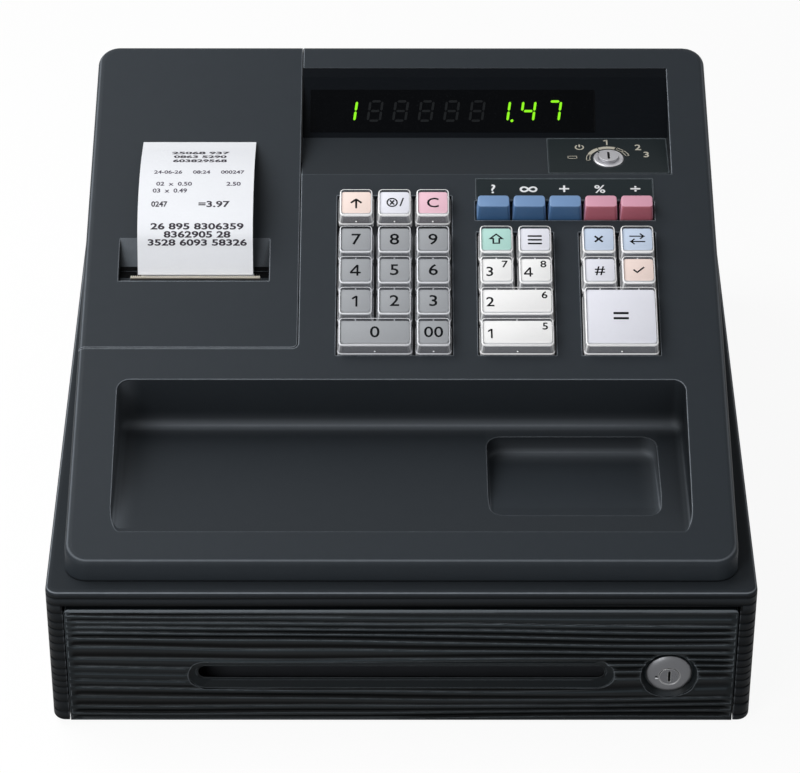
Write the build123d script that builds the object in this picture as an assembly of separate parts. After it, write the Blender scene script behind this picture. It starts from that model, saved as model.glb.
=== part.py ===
from build123d import *
import os
from math import asin, atan2, cos, degrees, radians, sin, tan

os.makedirs("parts", exist_ok=True)

# Frame: X to the right, Y to the back, Z up, origin under the middle of the case on the table.
# "Deck" sizes run on the sloped top: along X, up the slope from its front line, and out of it.

# Case, in millimetres
case_width = 335.0
case_depth = 360.0
foot_height = 2.0
foot_radius = 9.0
foot_side_inset = 30.0
foot_end_inset = 26.0
base_height = 80.4
base_wall = 3.0
base_corner_radius = 6.0
base_rim_round = 2.5
base_bottom_round = 2.0
base_roof = 3.0
sheet_thickness = 1.2
fit_gap = 0.3
moving_gap = 0.5
cut_over = 1.0
join_over = 0.5

# Sloped upper housing
housing_step = 8.5
housing_wall = 3.0
housing_draft = 1.72
housing_corner_radius = 11.0
housing_edge_round = 3.5
deck_slope = 18.9
deck_front_setback = 9.9
deck_front_height = 92.3
deck_length = 311.0
rear_foot_height = 12.0
pocket_wall = 2.5
pocket_mouth = 30.0

# Coin shelf and coin dish sunk into the deck
shelf_side_margin = 21.4
shelf_front_run = 15.7
shelf_back_run = 102.6
shelf_corner_radius = 6.0
shelf_floor_round = 4.5
dish_side_margin = 35.1
dish_length = 82.5
dish_front_inset = 11.0
dish_back_inset = 9.0
dish_depth = 10.0
dish_corner_radius = 7.5
dish_floor_round = 3.0

# Display recess, windows and displays
recess_side_margin = 23.0
recess_front_run = 227.7
recess_floor_depth = 33.7
recess_face_tilt = 38.4
panel_thickness = 2.0
display_left_margin = 6.2
display_right_margin = 42.0
display_low = 6.0
display_high = 26.0
display_block_width = 118.0
display_block_height = 16.0
rear_window_seam_gap = 2.5
rear_window_top = 14.0
rear_window_height = 26.0
rear_window_lip = 3.0
board_thickness = 1.6

# Mode switch, standing on the floor of the recess
mode_switch_margin = 31.1
mode_switch_back = 20.0
mode_collar_radius = 7.7
mode_collar_height = 2.2
mode_body_radius = 6.6
mode_body_length = 17.0
mode_core_radius = 5.0
mode_core_proud = 0.4
mode_bore_floor = 2.0
mode_core_gap = 0.8
keyway_width = 1.2
keyway_length = 6.4
keyway_depth = 9.0
core_clearance = 0.08

# Keys, one unit of pitch apart
key_pitch_share = 0.102413
key_gap_x = 1.1
key_pitch_run = 18.7
key_run = 17.4
key_height = 6.5
key_sink = 2.5
key_side_taper = 5.8
key_top_skin = 1.2
key_side_skin = 1.5
key_travel = 3.0
key_stem = 5.0
key_stem_length = 8.5
stem_gap = 0.4
key_opening_gap = 0.6
first_row_run = 126.1
top_row_run = 204.9
number_block_pitches = 2.466
item_block_pitches = 3.1387
total_block_pitches = 2.6571
function_pitch_share = 0.93613
function_first_pitches = 0.55236
function_gap = 0.98
function_run = 11.0
function_row_run = 204.9
function_height = 7.5
function_front_lean = 2.6
function_back_lean = 1.2

# Keyboard frame, rubber mat and key board under the deck
frame_plate = 2.0
frame_drop = 3.0
frame_side_margin = 9.5
frame_front_margin = 4.0
frame_back_margin = 3.0
frame_rim = 2.0
mat_thickness = 0.8
mat_gap = 0.6
deck_boss_radius = 2.5
deck_boss_left_gap = 6.0
deck_boss_right_gap = 8.0
deck_boss_first_back = 2.0

# Printer cover, receipt exit and paper
seam_side_margin = 108.5
seam_run = 121.2
seam_gap = 0.6
seam_corner_radius = 3.0
cover_lower_edge = 14.0
cover_side_drop = 26.0
cover_ledge = 5.0
cover_ledge_thickness = 2.0
cover_ledge_root = 3.0
cover_ledge_end = 12.0
cover_side_start = 6.0
exit_side_margin = 19.2
exit_width = 74.5
exit_front_run = 161.5
exit_back_run = 187.6
exit_depth = 6.0
slot_front_run = 165.4
slot_back_run = 171.6
slot_half_width = 32.3
tear_bar_thickness = 0.8
tear_bar_height = 6.5
tear_tooth_pitch = 3.2
tear_tooth_height = 1.2
paper_side_margin = 57.1
paper_width = 57.0
paper_thickness = 0.3
strip_start_depth = 4.0
strip_start_run = 168.2
strip_out_run = 172.5
strip_out_rise = 1.0
strip_climb_run = 179.5
strip_climb_rise = 9.0
strip_turn_run = 190.0
strip_turn_rise = 14.5
strip_peak_run = 203.0
strip_peak_rise = 15.6
strip_fall_run = 220.0
strip_fall_rise = 12.6
strip_low_run = 236.0
strip_low_rise = 6.2
strip_end_run = 247.5
strip_end_rise = 0.45
strip_steps = 14

# Printer mechanism
printer_side = 3.0
printer_side_gap = 1.7
printer_floor = 2.5
platen_back = 163.1
platen_height = 49.7
platen_radius = 5.0
platen_shaft_radius = 2.5
shaft_clearance = 0.08
platen_gear_radius = 8.0
platen_gear_width = 4.0
head_depth = 8.0
head_height = 10.0
roll_back = 43.0
roll_height = 36.0
roll_radius = 28.0
roll_core_radius = 6.25
roll_stub_clearance = 0.35
roll_stub_length = 5.0
motor_radius = 10.0
motor_length = 16.0
motor_back = 6.0
motor_height = 20.0
printer_front_lip = 2.0
printer_back_lip = 3.0
printer_shoulder = 2.0
printer_shoulder_back = 12.0
printer_back_rise = 18.0
head_fins = 3
head_fin_pitch = 2.0
head_fin_gap = 1.0
head_fin_first = 1.2
head_fin_side = 4.0
head_fin_top = 2.0
shaft_proud = 1.0

# Drawer
post_width = 8.5
drawer_front_height = 69.1
drawer_front_lift = 0.3
drawer_front_depth = 17.0
drawer_front_wall = 4.0
drawer_top_gap = 2.8
drawer_side_gap = 0.5
post_depth = 10.0
drawer_side_room = 19.5
drawer_end_room = 55.0
drawer_wall = 2.5
drawer_floor_height = 5.0
drawer_top_height = 64.0
drawer_flange = 9.0
drawer_flange_thickness = 2.0
rail_inset = 1.5
rail_width = 8.0
rail_height = 18.0
rail_wall = 1.2
rail_gap = 0.4
rail_overrun = 8.0
flange_front_gap = 10.0
slot_lock_gap = 13.0
slot_height = 7.0
slot_center_height = 28.8
bezel_margin_x = 4.6
bezel_margin_z = 5.0
bezel_depth = 1.2

# Coin tray inside the drawer
tray_bottom_height = 36.0
tray_height = 28.0
tray_wall = 2.0
tray_divider = 1.6
tray_columns = 4
tray_gap = 1.2
tray_back_gap = 4.5
coin_cup_length = 48.0
tray_ledge = 4.0
tray_ledge_thickness = 3.0
clip_width = 12.0
clip_thickness = 1.6
clip_reach = 72.0
clip_pin_radius = 1.2
clip_hub_radius = 2.6
clip_pin_clearance = 0.08
clip_ear = 2.0
clip_side_gap = 0.6
clip_pivot_back = 6.5
clip_pivot_height = 20.5
clip_tip_gap = 0.4
clip_ear_front = 4.0

# Drawer lock
lock_side_margin = 39.7
lock_height = 28.6
lock_collar_radius = 10.9
lock_collar_height = 2.6
lock_body_radius = 9.0
lock_core_radius = 4.7
lock_recess_radius = 13.2
lock_recess_depth = 2.6
lock_nut_rim = 3.0
lock_nut_thickness = 3.0
cam_back_gap = 2.0
cam_length = 35.0
cam_width = 8.0
cam_thickness = 2.0
cam_notch_low = 7.0
cam_notch_high = 26.0

# Drawer latch and its magnet
latch_pivot_inset = 15.0
latch_pivot_height = 22.0
latch_reach = 36.0
latch_width = 8.0
latch_arm_thickness = 3.0
latch_hook_height = 4.5
latch_hook_thickness = 3.0
latch_hub_radius = 3.0
latch_pin_radius = 1.5
latch_lip_gap = 1.0
latch_lip_back = 8.0
latch_bracket_wall = 1.2
latch_bracket_half = 5.0
lip_wall = 2.0
lip_height = 6.0
lip_side = 3.0
magnet_length = 16.0
magnet_width = 16.0

# Boards, transformer, screws and cord gland
main_board_seam_gap = 5.5
main_board_right_gap = 15.0
main_board_front = -52.0
main_board_back_gap = 21.0
standoff_height = 6.0
standoff_radius = 3.0
standoff_inset = 5.0
processor_half = 10.0
processor_y = -5.0
processor_height = 3.0
connector_inset = 5.0
connector_width = 10.0
connector_half = 30.0
connector_height = 8.0
display_board_margin = 3.0
display_board_top_margin = 2.0
rear_board_half = 13.0
rear_block_half = 7.0
rear_block_inset = 8.0
cable_hole_radius = 8.0
cable_hole_gap = 14.0
transformer_side_gap = 41.0
transformer_back_gap = 59.5
transformer_width = 50.0
transformer_depth = 42.0
transformer_height = 40.0
coil_bulge = 6.0
coil_side = 9.0
coil_bottom = 6.0
coil_top = 8.0
screw_radius = 1.5
screw_clearance = 0.1
screw_head_radius = 2.75
screw_head_height = 1.5
screw_length = 10.0
screw_post_length = 10.0
screw_post_height = 16.0
screw_post_inner = 2.85
screw_end_inset = 40.0
housing_screw_inset = 4.0
housing_screw_end_inset = 36.0
housing_post_half = 4.0
housing_post_sink = 1.0
gland_side_margin = 39.0
gland_rise = 14.0
gland_bore_radius = 3.6
gland_body_radius = 7.0
gland_flange_radius = 10.0
gland_flange = 2.0
gland_reach = 6.0

# Heights and places worked out from the sizes above
half_width = case_width / 2
half_depth = case_depth / 2
base_bottom = foot_height
plate_top = base_bottom + sheet_thickness
rim_top = base_bottom + base_height
roof_under = rim_top - base_roof
housing_half = half_width - housing_step
housing_front = -half_depth + housing_step
housing_back = half_depth - housing_step

seam_x = -housing_half + seam_side_margin
exit_left = -housing_half + exit_side_margin
exit_right = exit_left + exit_width
paper_center_x = -housing_half + paper_side_margin
shelf_half_width = housing_half - shelf_side_margin
dish_right = housing_half - dish_side_margin
dish_left = dish_right - dish_length
recess_left = seam_x + seam_gap / 2
recess_right = housing_half - recess_side_margin
display_left = recess_left + display_left_margin
display_right = recess_right - display_right_margin
mode_switch_x = recess_right - mode_switch_margin
rear_window_half = -seam_x - rear_window_seam_gap

key_pitch_x = key_pitch_share * (recess_right - seam_x)
key_width = key_pitch_x - key_gap_x
number_block_x = seam_x + number_block_pitches * key_pitch_x
item_block_x = number_block_x + item_block_pitches * key_pitch_x
total_block_x = item_block_x + total_block_pitches * key_pitch_x
function_pitch = function_pitch_share * key_pitch_x
function_first_x = item_block_x - function_first_pitches * key_pitch_x
function_width = function_pitch - function_gap

slope = radians(deck_slope)
deck_front_y = -half_depth + deck_front_setback
deck_front_z = base_bottom + deck_front_height
deck = Plane(origin=(0, deck_front_y, deck_front_z), x_dir=(1, 0, 0), z_dir=(0, -sin(slope), cos(slope)))
ridge_y = deck_front_y + deck_length * cos(slope)
ridge_z = deck_front_z + deck_length * sin(slope)
rear_tilt = atan2(housing_back - ridge_y, ridge_z - rim_top - rear_foot_height)
rear = Plane(origin=(0, ridge_y, ridge_z), x_dir=(-1, 0, 0), z_dir=(0, cos(rear_tilt), sin(rear_tilt)))

shelf_z = deck_front_z + shelf_front_run * sin(slope)
shelf_front_y = deck_front_y + shelf_front_run * cos(slope)
shelf_back_y = deck_front_y + shelf_back_run * cos(slope)

recess_floor_z = deck_front_z + recess_front_run * sin(slope)
recess_front_y = deck_front_y + recess_front_run * cos(slope)
recess_back_y = recess_front_y + recess_floor_depth
face_tilt = radians(recess_face_tilt)
face = Plane(
    origin=(0, recess_back_y, recess_floor_z), x_dir=(1, 0, 0), z_dir=(0, -sin(face_tilt), cos(face_tilt))
)
face_run = (
    (deck_front_z + (recess_back_y - deck_front_y) * tan(slope) - recess_floor_z)
    / (sin(face_tilt) - cos(face_tilt) * tan(slope))
)

frame_top = -housing_wall - frame_drop
frame_under = frame_top - frame_plate
stem_end = -key_sink - key_stem_length
board_top = stem_end - key_travel - mat_gap - mat_thickness

drawer_front_half = half_width - post_width
drawer_half = half_width - drawer_side_room
drawer_bottom = base_bottom + drawer_front_lift
drawer_top = drawer_bottom + drawer_front_height
drawer_back_of_front = -half_depth + drawer_front_depth
strip_bottom = drawer_top + drawer_top_gap
drawer_floor_z = base_bottom + drawer_floor_height
drawer_top_z = base_bottom + drawer_top_height
drawer_end = half_depth - drawer_end_room
slot_z = base_bottom + slot_center_height
lock_z = base_bottom + lock_height
lock_x = half_width - lock_side_margin
slot_half_length = lock_x - lock_recess_radius - bezel_margin_x - slot_lock_gap
tray_bottom = base_bottom + tray_bottom_height
tray_half = drawer_half - drawer_wall - tray_gap
tray_front = drawer_back_of_front + drawer_wall + tray_gap
tray_end = drawer_end - drawer_wall - tray_back_gap
rail_top = plate_top + rail_height
latch_z = base_bottom + latch_pivot_height
latch_pivot_y = half_depth - latch_pivot_inset
latch_tip = latch_pivot_y - latch_reach
hook_top = latch_z + latch_hook_height
magnet_top = latch_z - latch_arm_thickness - fit_gap

paper_left = paper_center_x - paper_width / 2
paper_right = paper_center_x + paper_width / 2
side_left = paper_left - printer_side_gap
side_right = paper_right + printer_side_gap
platen_y = deck_front_y + platen_back
platen_z = rim_top + platen_height
roll_y = platen_y + roll_back
roll_z = rim_top + roll_height

transformer_x = housing_half - transformer_side_gap
transformer_y = housing_back - transformer_back_gap
gland_x = housing_half - gland_side_margin
main_board_left = seam_x + main_board_seam_gap
main_board_right = transformer_x - transformer_width / 2 - main_board_right_gap
main_board_back = transformer_y - transformer_depth / 2 - main_board_back_gap
connector_left = main_board_left + connector_inset

big = case_width + case_depth


def block(x0, x1, y0, y1, z0, z1):
    """Box between two corners."""
    return Pos((x0 + x1) / 2, (y0 + y1) / 2, (z0 + z1) / 2) * Box(x1 - x0, y1 - y0, z1 - z0)


def rod(radius, start, end, axis="Z", at=(0, 0)):
    """Round bar along a world axis; at holds the two other coordinates in X, Y, Z order."""
    bar = Pos(0, 0, (start + end) / 2) * Cylinder(radius, end - start)
    if axis == "X":
        return Pos(0, at[0], at[1]) * Rot(0, 90, 0) * bar
    if axis == "Y":
        return Pos(at[0], 0, at[1]) * Rot(-90, 0, 0) * bar
    return Pos(at[0], at[1], 0) * bar


def side_prism(points, x0, x1):
    """Outline in the Y-Z plane, drawn out from x0 to x1."""
    outline = Plane.YZ * make_face(Polyline(*points, close=True))
    return Pos(x0, 0, 0) * extrude(outline, x1 - x0)


def screw_places():
    """Screws through the base plate, down each side."""
    x = half_width - base_wall - rail_inset - screw_radius
    runs = (-half_depth + screw_end_inset, 0, half_depth - screw_end_inset)
    return [(side * x, y) for side in (-1, 1) for y in runs]


def housing_screw_places():
    """Screws up through the base roof into the housing."""
    x = housing_half - housing_wall - housing_screw_inset
    y = half_depth - housing_screw_end_inset
    return [(side * x, end * y) for side in (-1, 1) for end in (-1, 1)]


def base_shell():
    outline = RectangleRounded(case_width, case_depth, base_corner_radius)
    outer = Pos(0, 0, base_bottom) * extrude(outline, base_height)
    outer = fillet(outer.edges().group_by(Axis.Z)[-1], base_rim_round)
    outer = fillet(outer.edges().group_by(Axis.Z)[0], base_bottom_round)
    inner = RectangleRounded(
        case_width - 2 * base_wall, case_depth - 2 * base_wall, base_corner_radius - base_wall
    )
    cavity = Pos(0, 0, base_bottom) * extrude(inner, base_height - base_roof)
    return outer - cavity


def base_case():
    shell = base_shell()
    opening = drawer_front_half + drawer_side_gap
    mouth = block(
        -opening, opening, -half_depth - cut_over, -half_depth + base_wall + cut_over,
        base_bottom - cut_over, strip_bottom,
    )
    shell -= mouth
    inner = half_width - base_wall
    for side in (-1, 1):
        xs = sorted((side * opening, side * (inner + join_over)))
        front = -half_depth + base_wall - join_over
        shell += block(*xs, front, -half_depth + post_depth, plate_top, roof_under)
    for x, y in screw_places():
        side = x / abs(x)
        xs = sorted((x - side * screw_post_inner, side * (inner + join_over)))
        half = screw_post_length / 2
        shell += block(*xs, y - half, y + half, plate_top, plate_top + screw_post_height)
        shell -= rod(screw_radius + screw_clearance, base_bottom, plate_top + screw_length, "Z", (x, y))
    for x, y in housing_screw_places():
        shell -= rod(screw_radius + screw_clearance, roof_under - cut_over, rim_top + cut_over, "Z", (x, y))
    for x, y in standoff_places():
        shell += rod(standoff_radius, rim_top - join_over, rim_top + standoff_height, "Z", (x, y))
    hole = (main_board_right + cable_hole_gap, main_board_back)
    return shell - rod(cable_hole_radius, roof_under - cut_over, rim_top + cut_over, "Z", hole)


def base_plate():
    """Sheet bottom with a rail for the drawer down each side and the bracket of the latch."""
    half = half_width - base_wall - fit_gap
    front = drawer_back_of_front + fit_gap
    back = half_depth - base_wall - fit_gap
    sheet = block(-half, half, front, back, base_bottom, plate_top)
    sheet = fillet(sheet.edges().filter_by(Axis.Z), base_corner_radius - base_wall)
    for x, y in screw_places():
        hole_radius = screw_radius + screw_clearance
        sheet -= rod(hole_radius, base_bottom - cut_over, plate_top + cut_over, "Z", (x, y))
    ear = latch_width / 2 + moving_gap
    for side in (-1, 1):
        xs = sorted((side * ear, side * (ear + latch_bracket_wall)))
        sheet += block(
            *xs, latch_pivot_y - latch_bracket_half, latch_pivot_y + latch_bracket_half,
            base_bottom, latch_z + latch_hub_radius,
        )
    reach = ear + latch_bracket_wall + cut_over
    sheet -= rod(latch_pin_radius + shaft_clearance, -reach, reach, "X", (latch_pivot_y, latch_z))
    pieces = [sheet]
    for side in (-1, 1):
        inner = side * (drawer_half + rail_inset)
        outer = side * (drawer_half + rail_inset + rail_width)
        xs = sorted((inner, outer))
        end = drawer_end + rail_overrun
        rail = block(*xs, front, end, plate_top, rail_top)
        core_xs = sorted((inner + side * rail_wall, outer + side * cut_over))
        low, high = plate_top + rail_wall, rail_top - rail_wall
        pieces.append(rail - block(*core_xs, front - cut_over, end + cut_over, low, high))
    return Compound(children=pieces)


def rubber_feet():
    x = half_width - foot_side_inset
    front = drawer_back_of_front + foot_end_inset
    back = half_depth - foot_end_inset
    feet = [rod(foot_radius, 0, foot_height, "Z", (sx * x, y)) for sx in (-1, 1) for y in (front, back)]
    return Compound(children=feet)


def case_screws():
    screws = []
    for x, y in screw_places():
        head = rod(screw_head_radius, base_bottom - screw_head_height, base_bottom, "Z", (x, y))
        shank_start = base_bottom - screw_head_height / 2
        screws.append(head + rod(screw_radius, shank_start, plate_top + screw_length, "Z", (x, y)))
    for x, y in housing_screw_places():
        head = rod(screw_head_radius, roof_under - screw_head_height, roof_under, "Z", (x, y))
        shank_start = roof_under - screw_head_height / 2
        screws.append(head + rod(screw_radius, shank_start, rim_top + screw_length, "Z", (x, y)))
    return Compound(children=screws)


def wedge(inset):
    """Drafted wedge of the upper housing, every face moved inwards by inset."""
    plan = Rectangle(2 * (housing_half - inset), housing_back - housing_front - 2 * inset)
    body = Pos(0, 0, rim_top) * extrude(plan, ridge_z - rim_top + pocket_mouth, taper=housing_draft)
    body -= deck * block(-big, big, -big, big, -inset, big)
    body -= rear * block(-big, big, -big, big, -inset, big)
    upright = [e for e in body.edges() if abs(e.tangent_at(0.5).X) < 0.3 and abs(e.tangent_at(0.5).Z) > 0.5]
    return fillet(upright, housing_corner_radius - inset)


def outer_wedge():
    body = wedge(0)
    top = body.faces().sort_by(Axis((0, 0, 0), (0, -sin(slope), cos(slope))))[-1]
    return fillet(top.edges(), housing_edge_round)


def shelf_pocket(grow):
    """Level shelf for coins and papers; grow makes it larger for the wall around it."""
    half = shelf_half_width + grow
    front = shelf_front_y - pocket_mouth
    pocket = block(-half, half, front, shelf_back_y + grow, shelf_z - grow, ridge_z)
    uprights = pocket.edges().filter_by(Axis.Z).group_by(Axis.Y)[-1]
    pocket = fillet(uprights, shelf_corner_radius + grow)
    return fillet(pocket.faces().sort_by(Axis.Z)[0].edges().sort_by(Axis.Y)[1:], shelf_floor_round)


def dish_pocket(grow):
    """Coin dish whose floor climbs to the front."""
    front = shelf_front_y + dish_front_inset
    back = shelf_back_y - dish_back_inset
    climb = atan2(dish_depth, back - front)
    top = shelf_z - join_over if grow else shelf_z + cut_over
    pocket = block(
        dish_left - grow, dish_right + grow, front - grow, back + grow, shelf_z - 3 * dish_depth, top
    )
    pocket = fillet(pocket.edges().filter_by(Axis.Z), dish_corner_radius + grow)
    floor = Plane(origin=(0, front, shelf_z - grow), x_dir=(1, 0, 0), z_dir=(0, sin(climb), cos(climb)))
    pocket -= floor * block(-big, big, -big, big, -big, 0)
    if grow:
        return pocket
    low = pocket.faces().sort_by(Axis((0, 0, 0), (0, sin(climb), cos(climb))))[0]
    return fillet(low.edges().sort_by(Axis.Y)[1:], dish_floor_round)


def recess_prism(floor_grow, face_grow, x0, x1):
    """Notch with a level floor and a tilted back face."""
    corner_y = recess_back_y + (face_grow - floor_grow * cos(face_tilt)) / sin(face_tilt)
    corner_z = recess_floor_z - floor_grow
    reach = 2 * face_run
    top = (corner_y + reach * cos(face_tilt), corner_z + reach * sin(face_tilt))
    front = recess_front_y - pocket_mouth
    return side_prism([(front, corner_z), (corner_y, corner_z), top, (front, top[1])], x0, x1)


def key_blocks():
    """Clear openings in the deck, as x and run limits, one for each group of keys."""
    openings = []
    for group in (number_keys(), item_keys(), total_keys(), function_keys()):
        xs = [x - w / 2 for x, r, w, l in group.values()] + [x + w / 2 for x, r, w, l in group.values()]
        runs = [r - l / 2 for x, r, w, l in group.values()] + [r + l / 2 for x, r, w, l in group.values()]
        gap = key_opening_gap
        openings.append((min(xs) - gap, max(xs) + gap, min(runs) - gap, max(runs) + gap))
    return openings


def cover_region(margin):
    """Corner of the housing that the printer cover takes, pulled back by margin at its seams."""
    low = rim_top + cover_lower_edge + margin
    region = block(-big, big, -big, big, low, big)
    corner = block(-big, seam_x - margin, seam_run + margin, big, -big, big)
    edge = corner.edges().filter_by(Axis.Z).group_by(Axis.X)[-1].sort_by(Axis.Y)[0]
    return region & (deck * fillet(edge, seam_corner_radius - margin))


def deck_boss_places():
    left = number_block_x - key_pitch_x - key_width / 2 - key_opening_gap - deck_boss_left_gap
    right = total_block_x + key_pitch_x + deck_boss_right_gap
    middle = (number_block_x + key_pitch_x + item_block_x - key_pitch_x / 2) / 2
    second = (item_block_x + total_block_x) / 2
    rows = [first_row_run + step * key_pitch_run for step in (0, 2, 4)]
    rows[0] -= deck_boss_first_back
    places = [(x, r) for x in (left, right) for r in rows]
    return places + [(x, r) for x in (middle, second) for r in rows[:2]]


def housing_shell():
    """Wall of the whole upper body before the cover is parted from it."""
    shell = outer_wedge() - wedge(housing_wall)
    middle = wedge(housing_wall / 2)
    shell += shelf_pocket(pocket_wall) & middle
    shell += dish_pocket(pocket_wall)
    face_grow = pocket_wall + panel_thickness
    shell += recess_prism(pocket_wall, face_grow, recess_left, recess_right + pocket_wall) & middle
    shell -= shelf_pocket(0)
    shell -= dish_pocket(0)
    shell -= recess_prism(0, panel_thickness, recess_left, recess_right)
    return shell


def upper_housing():
    body = housing_shell() - cover_region(-seam_gap / 2)
    for x0, x1, r0, r1 in key_blocks():
        body -= deck * block(x0, x1, r0, r1, -2 * housing_wall, housing_wall)
    body -= face * block(
        display_left, display_right, display_low, display_high,
        -panel_thickness - pocket_wall - cut_over, -panel_thickness + cut_over,
    )
    hole = mode_body_radius + fit_gap
    low = recess_floor_z - 2 * pocket_wall
    body -= rod(hole, low, recess_floor_z + cut_over, "Z", (mode_switch_x, mode_switch_y()))
    window_low = -rear_window_top - rear_window_height
    body -= rear * block(
        -rear_window_half, rear_window_half, window_low, -rear_window_top, -panel_thickness, cut_over
    )
    lip = rear_window_lip
    body -= rear * block(
        -rear_window_half + lip, rear_window_half - lip, window_low + lip, -rear_window_top - lip,
        -housing_wall - cut_over, 0,
    )
    body -= gland_place() * rod(gland_body_radius + fit_gap, -housing_wall - cut_over, cut_over)
    for x, r in deck_boss_places():
        body += deck * Pos(x, r, 0) * rod(deck_boss_radius, frame_top, -housing_wall + join_over)
    body += cover_ledges()
    half = housing_post_half
    middle = wedge(housing_wall / 2)
    for x, y in housing_screw_places():
        side = x / abs(x)
        xs = sorted((x - side * half, side * (housing_half - housing_post_sink)))
        body += block(*xs, y - half, y + half, rim_top, rim_top + screw_length) & middle
        hole = rod(screw_radius + screw_clearance, rim_top - cut_over, rim_top + screw_length, "Z", (x, y))
        body -= hole
    return body


def cover_ledges():
    """L-shaped ledge under the deck that carries the two inner edges of the printer cover."""
    low, high = -housing_wall - cover_ledge_thickness, -housing_wall
    edge = seam_x + seam_gap / 2
    right = edge + cover_ledge_root
    front, back = seam_run - cover_ledge_root, recess_front_run - cover_ledge_end
    ledge = block(edge - cover_ledge, right, front, back, low, high)
    ledge += block(-housing_half + 2 * housing_wall, right, front, seam_run + cover_ledge, low, high)
    return deck * ledge


def printer_cover():
    region = cover_region(seam_gap / 2)
    body = (outer_wedge() - wedge(housing_wall)) & region
    middle = wedge(housing_wall / 2)
    edge = seam_x - seam_gap / 2
    side = deck * block(
        edge - pocket_wall, edge, recess_front_run - cover_side_start, 2 * deck_length, -cover_side_drop, 0
    )
    body += side & middle & region
    body += exit_hollow(pocket_wall) & middle
    body -= exit_hollow(0)
    left = paper_center_x - slot_half_width
    right = paper_center_x + slot_half_width
    return body - deck * block(left, right, slot_front_run, slot_back_run, -4 * exit_depth, cut_over)


def exit_hollow(grow):
    """Receipt exit: a ramp that falls from the back to the paper slot, with a low front lip."""
    x0, x1 = exit_left - grow, exit_right + grow
    top = cut_over if not grow else 0
    outline = Polyline(
        (exit_back_run, 0),
        (slot_back_run + grow, -exit_depth - grow),
        (exit_front_run - grow, -exit_depth / 2 - grow),
        (exit_front_run - grow, top),
        (exit_back_run + cut_over, top),
        close=True,
    )
    return deck * Pos(x0, 0, 0) * extrude(Plane.YZ * make_face(outline), x1 - x0)


def tear_bar():
    """Steel strip on the front wall of the slot, with a row of teeth."""
    left = paper_center_x - slot_half_width + fit_gap
    right = paper_center_x + slot_half_width - fit_gap
    top = -exit_depth / 2 + tear_tooth_height
    bar = deck * block(
        left, right, slot_front_run, slot_front_run + tear_bar_thickness,
        top - tear_bar_height, top - tear_tooth_height,
    )
    count = int((right - left) // tear_tooth_pitch)
    pitch = (right - left) / count
    for i in range(count):
        tooth = make_face(
            Polyline((0, 0), (pitch, 0), (pitch / 2, tear_tooth_height), close=True)
        )
        plane = deck * Pos(left + i * pitch, slot_front_run + tear_bar_thickness, top - tear_tooth_height)
        bar += plane * Rot(90, 0, 0) * extrude(tooth, tear_bar_thickness)
    return bar


def receipt_strip():
    """Paper that stands out of the slot, arches backwards and lies down on the cover."""
    path = Spline(
        (strip_start_run, -strip_start_depth),
        (strip_out_run, strip_out_rise),
        (strip_climb_run, strip_climb_rise),
        (strip_turn_run, strip_turn_rise),
        (strip_peak_run, strip_peak_rise),
        (strip_fall_run, strip_fall_rise),
        (strip_low_run, strip_low_rise),
        (strip_end_run, strip_end_rise),
        tangents=((0.25, 1.0), (1.0, -0.42)),
    )
    steps = [i / strip_steps for i in range(strip_steps + 1)]
    lower = [path @ step for step in steps]
    normals = [path % step for step in steps]
    upper = [
        (p.X - t.Y * paper_thickness, p.Y + t.X * paper_thickness) for p, t in zip(lower, normals)
    ]
    outline = make_face(Polyline(*[(p.X, p.Y) for p in lower], *reversed(upper), close=True))
    return deck * Pos(paper_left, 0, 0) * extrude(Plane.YZ * outline, paper_width)


def display_windows():
    """Smoked panel of the recess and the customer window in the rear slope."""
    panel = recess_prism(0, panel_thickness, recess_left, recess_right)
    panel -= recess_prism(0, 0, recess_left - cut_over, recess_right + cut_over)
    panel &= wedge(0)
    window_low = -rear_window_top - rear_window_height
    window = rear * block(
        -rear_window_half, rear_window_half, window_low, -rear_window_top, -panel_thickness, 0
    )
    return Compound(children=[panel.solid(), window])


def mode_switch_y():
    return recess_front_y + recess_floor_depth - mode_switch_back


def mode_switch_barrel():
    at = (mode_switch_x, mode_switch_y())
    top = recess_floor_z + mode_collar_height
    barrel = rod(mode_collar_radius, recess_floor_z, top, "Z", at)
    barrel += rod(mode_body_radius, top - mode_body_length, recess_floor_z + join_over, "Z", at)
    bore_end = top - mode_body_length + mode_bore_floor
    return barrel - rod(mode_core_radius + core_clearance, bore_end, top + cut_over, "Z", at)


def mode_switch_rotor():
    at = (mode_switch_x, mode_switch_y())
    collar_top = recess_floor_z + mode_collar_height
    top = collar_top + mode_core_proud
    low = collar_top - mode_body_length + mode_bore_floor + mode_core_gap
    core = rod(mode_core_radius, low, top, "Z", at)
    half = keyway_length / 2
    keyway = block(-keyway_width / 2, keyway_width / 2, -half, half, top - keyway_depth, top + cut_over)
    return core - Pos(*at, 0) * keyway


def key_row(row):
    return first_row_run + row * key_pitch_run


def spread(units, pitch, size):
    """Length of a key that spans several units."""
    return size + (units - 1) * pitch


def number_keys():
    """Keys of the number block: x, run, width, length of each."""
    keys = {}
    names = (("key_1", "key_2", "key_3"), ("key_4", "key_5", "key_6"), ("key_7", "key_8", "key_9"))
    for row, row_names in enumerate(names):
        for column, name in enumerate(row_names):
            x = number_block_x + (column - 1) * key_pitch_x
            keys[name] = (x, key_row(row + 1), key_width, key_run)
    for column, name in enumerate(("key_feed", "key_receipt_switch", "key_clear")):
        keys[name] = (number_block_x + (column - 1) * key_pitch_x, top_row_run, key_width, key_run)
    wide = spread(2, key_pitch_x, key_width)
    keys["key_0"] = (number_block_x - key_pitch_x / 2, key_row(0), wide, key_run)
    keys["key_00"] = (number_block_x + key_pitch_x, key_row(0), key_width, key_run)
    return keys


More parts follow.
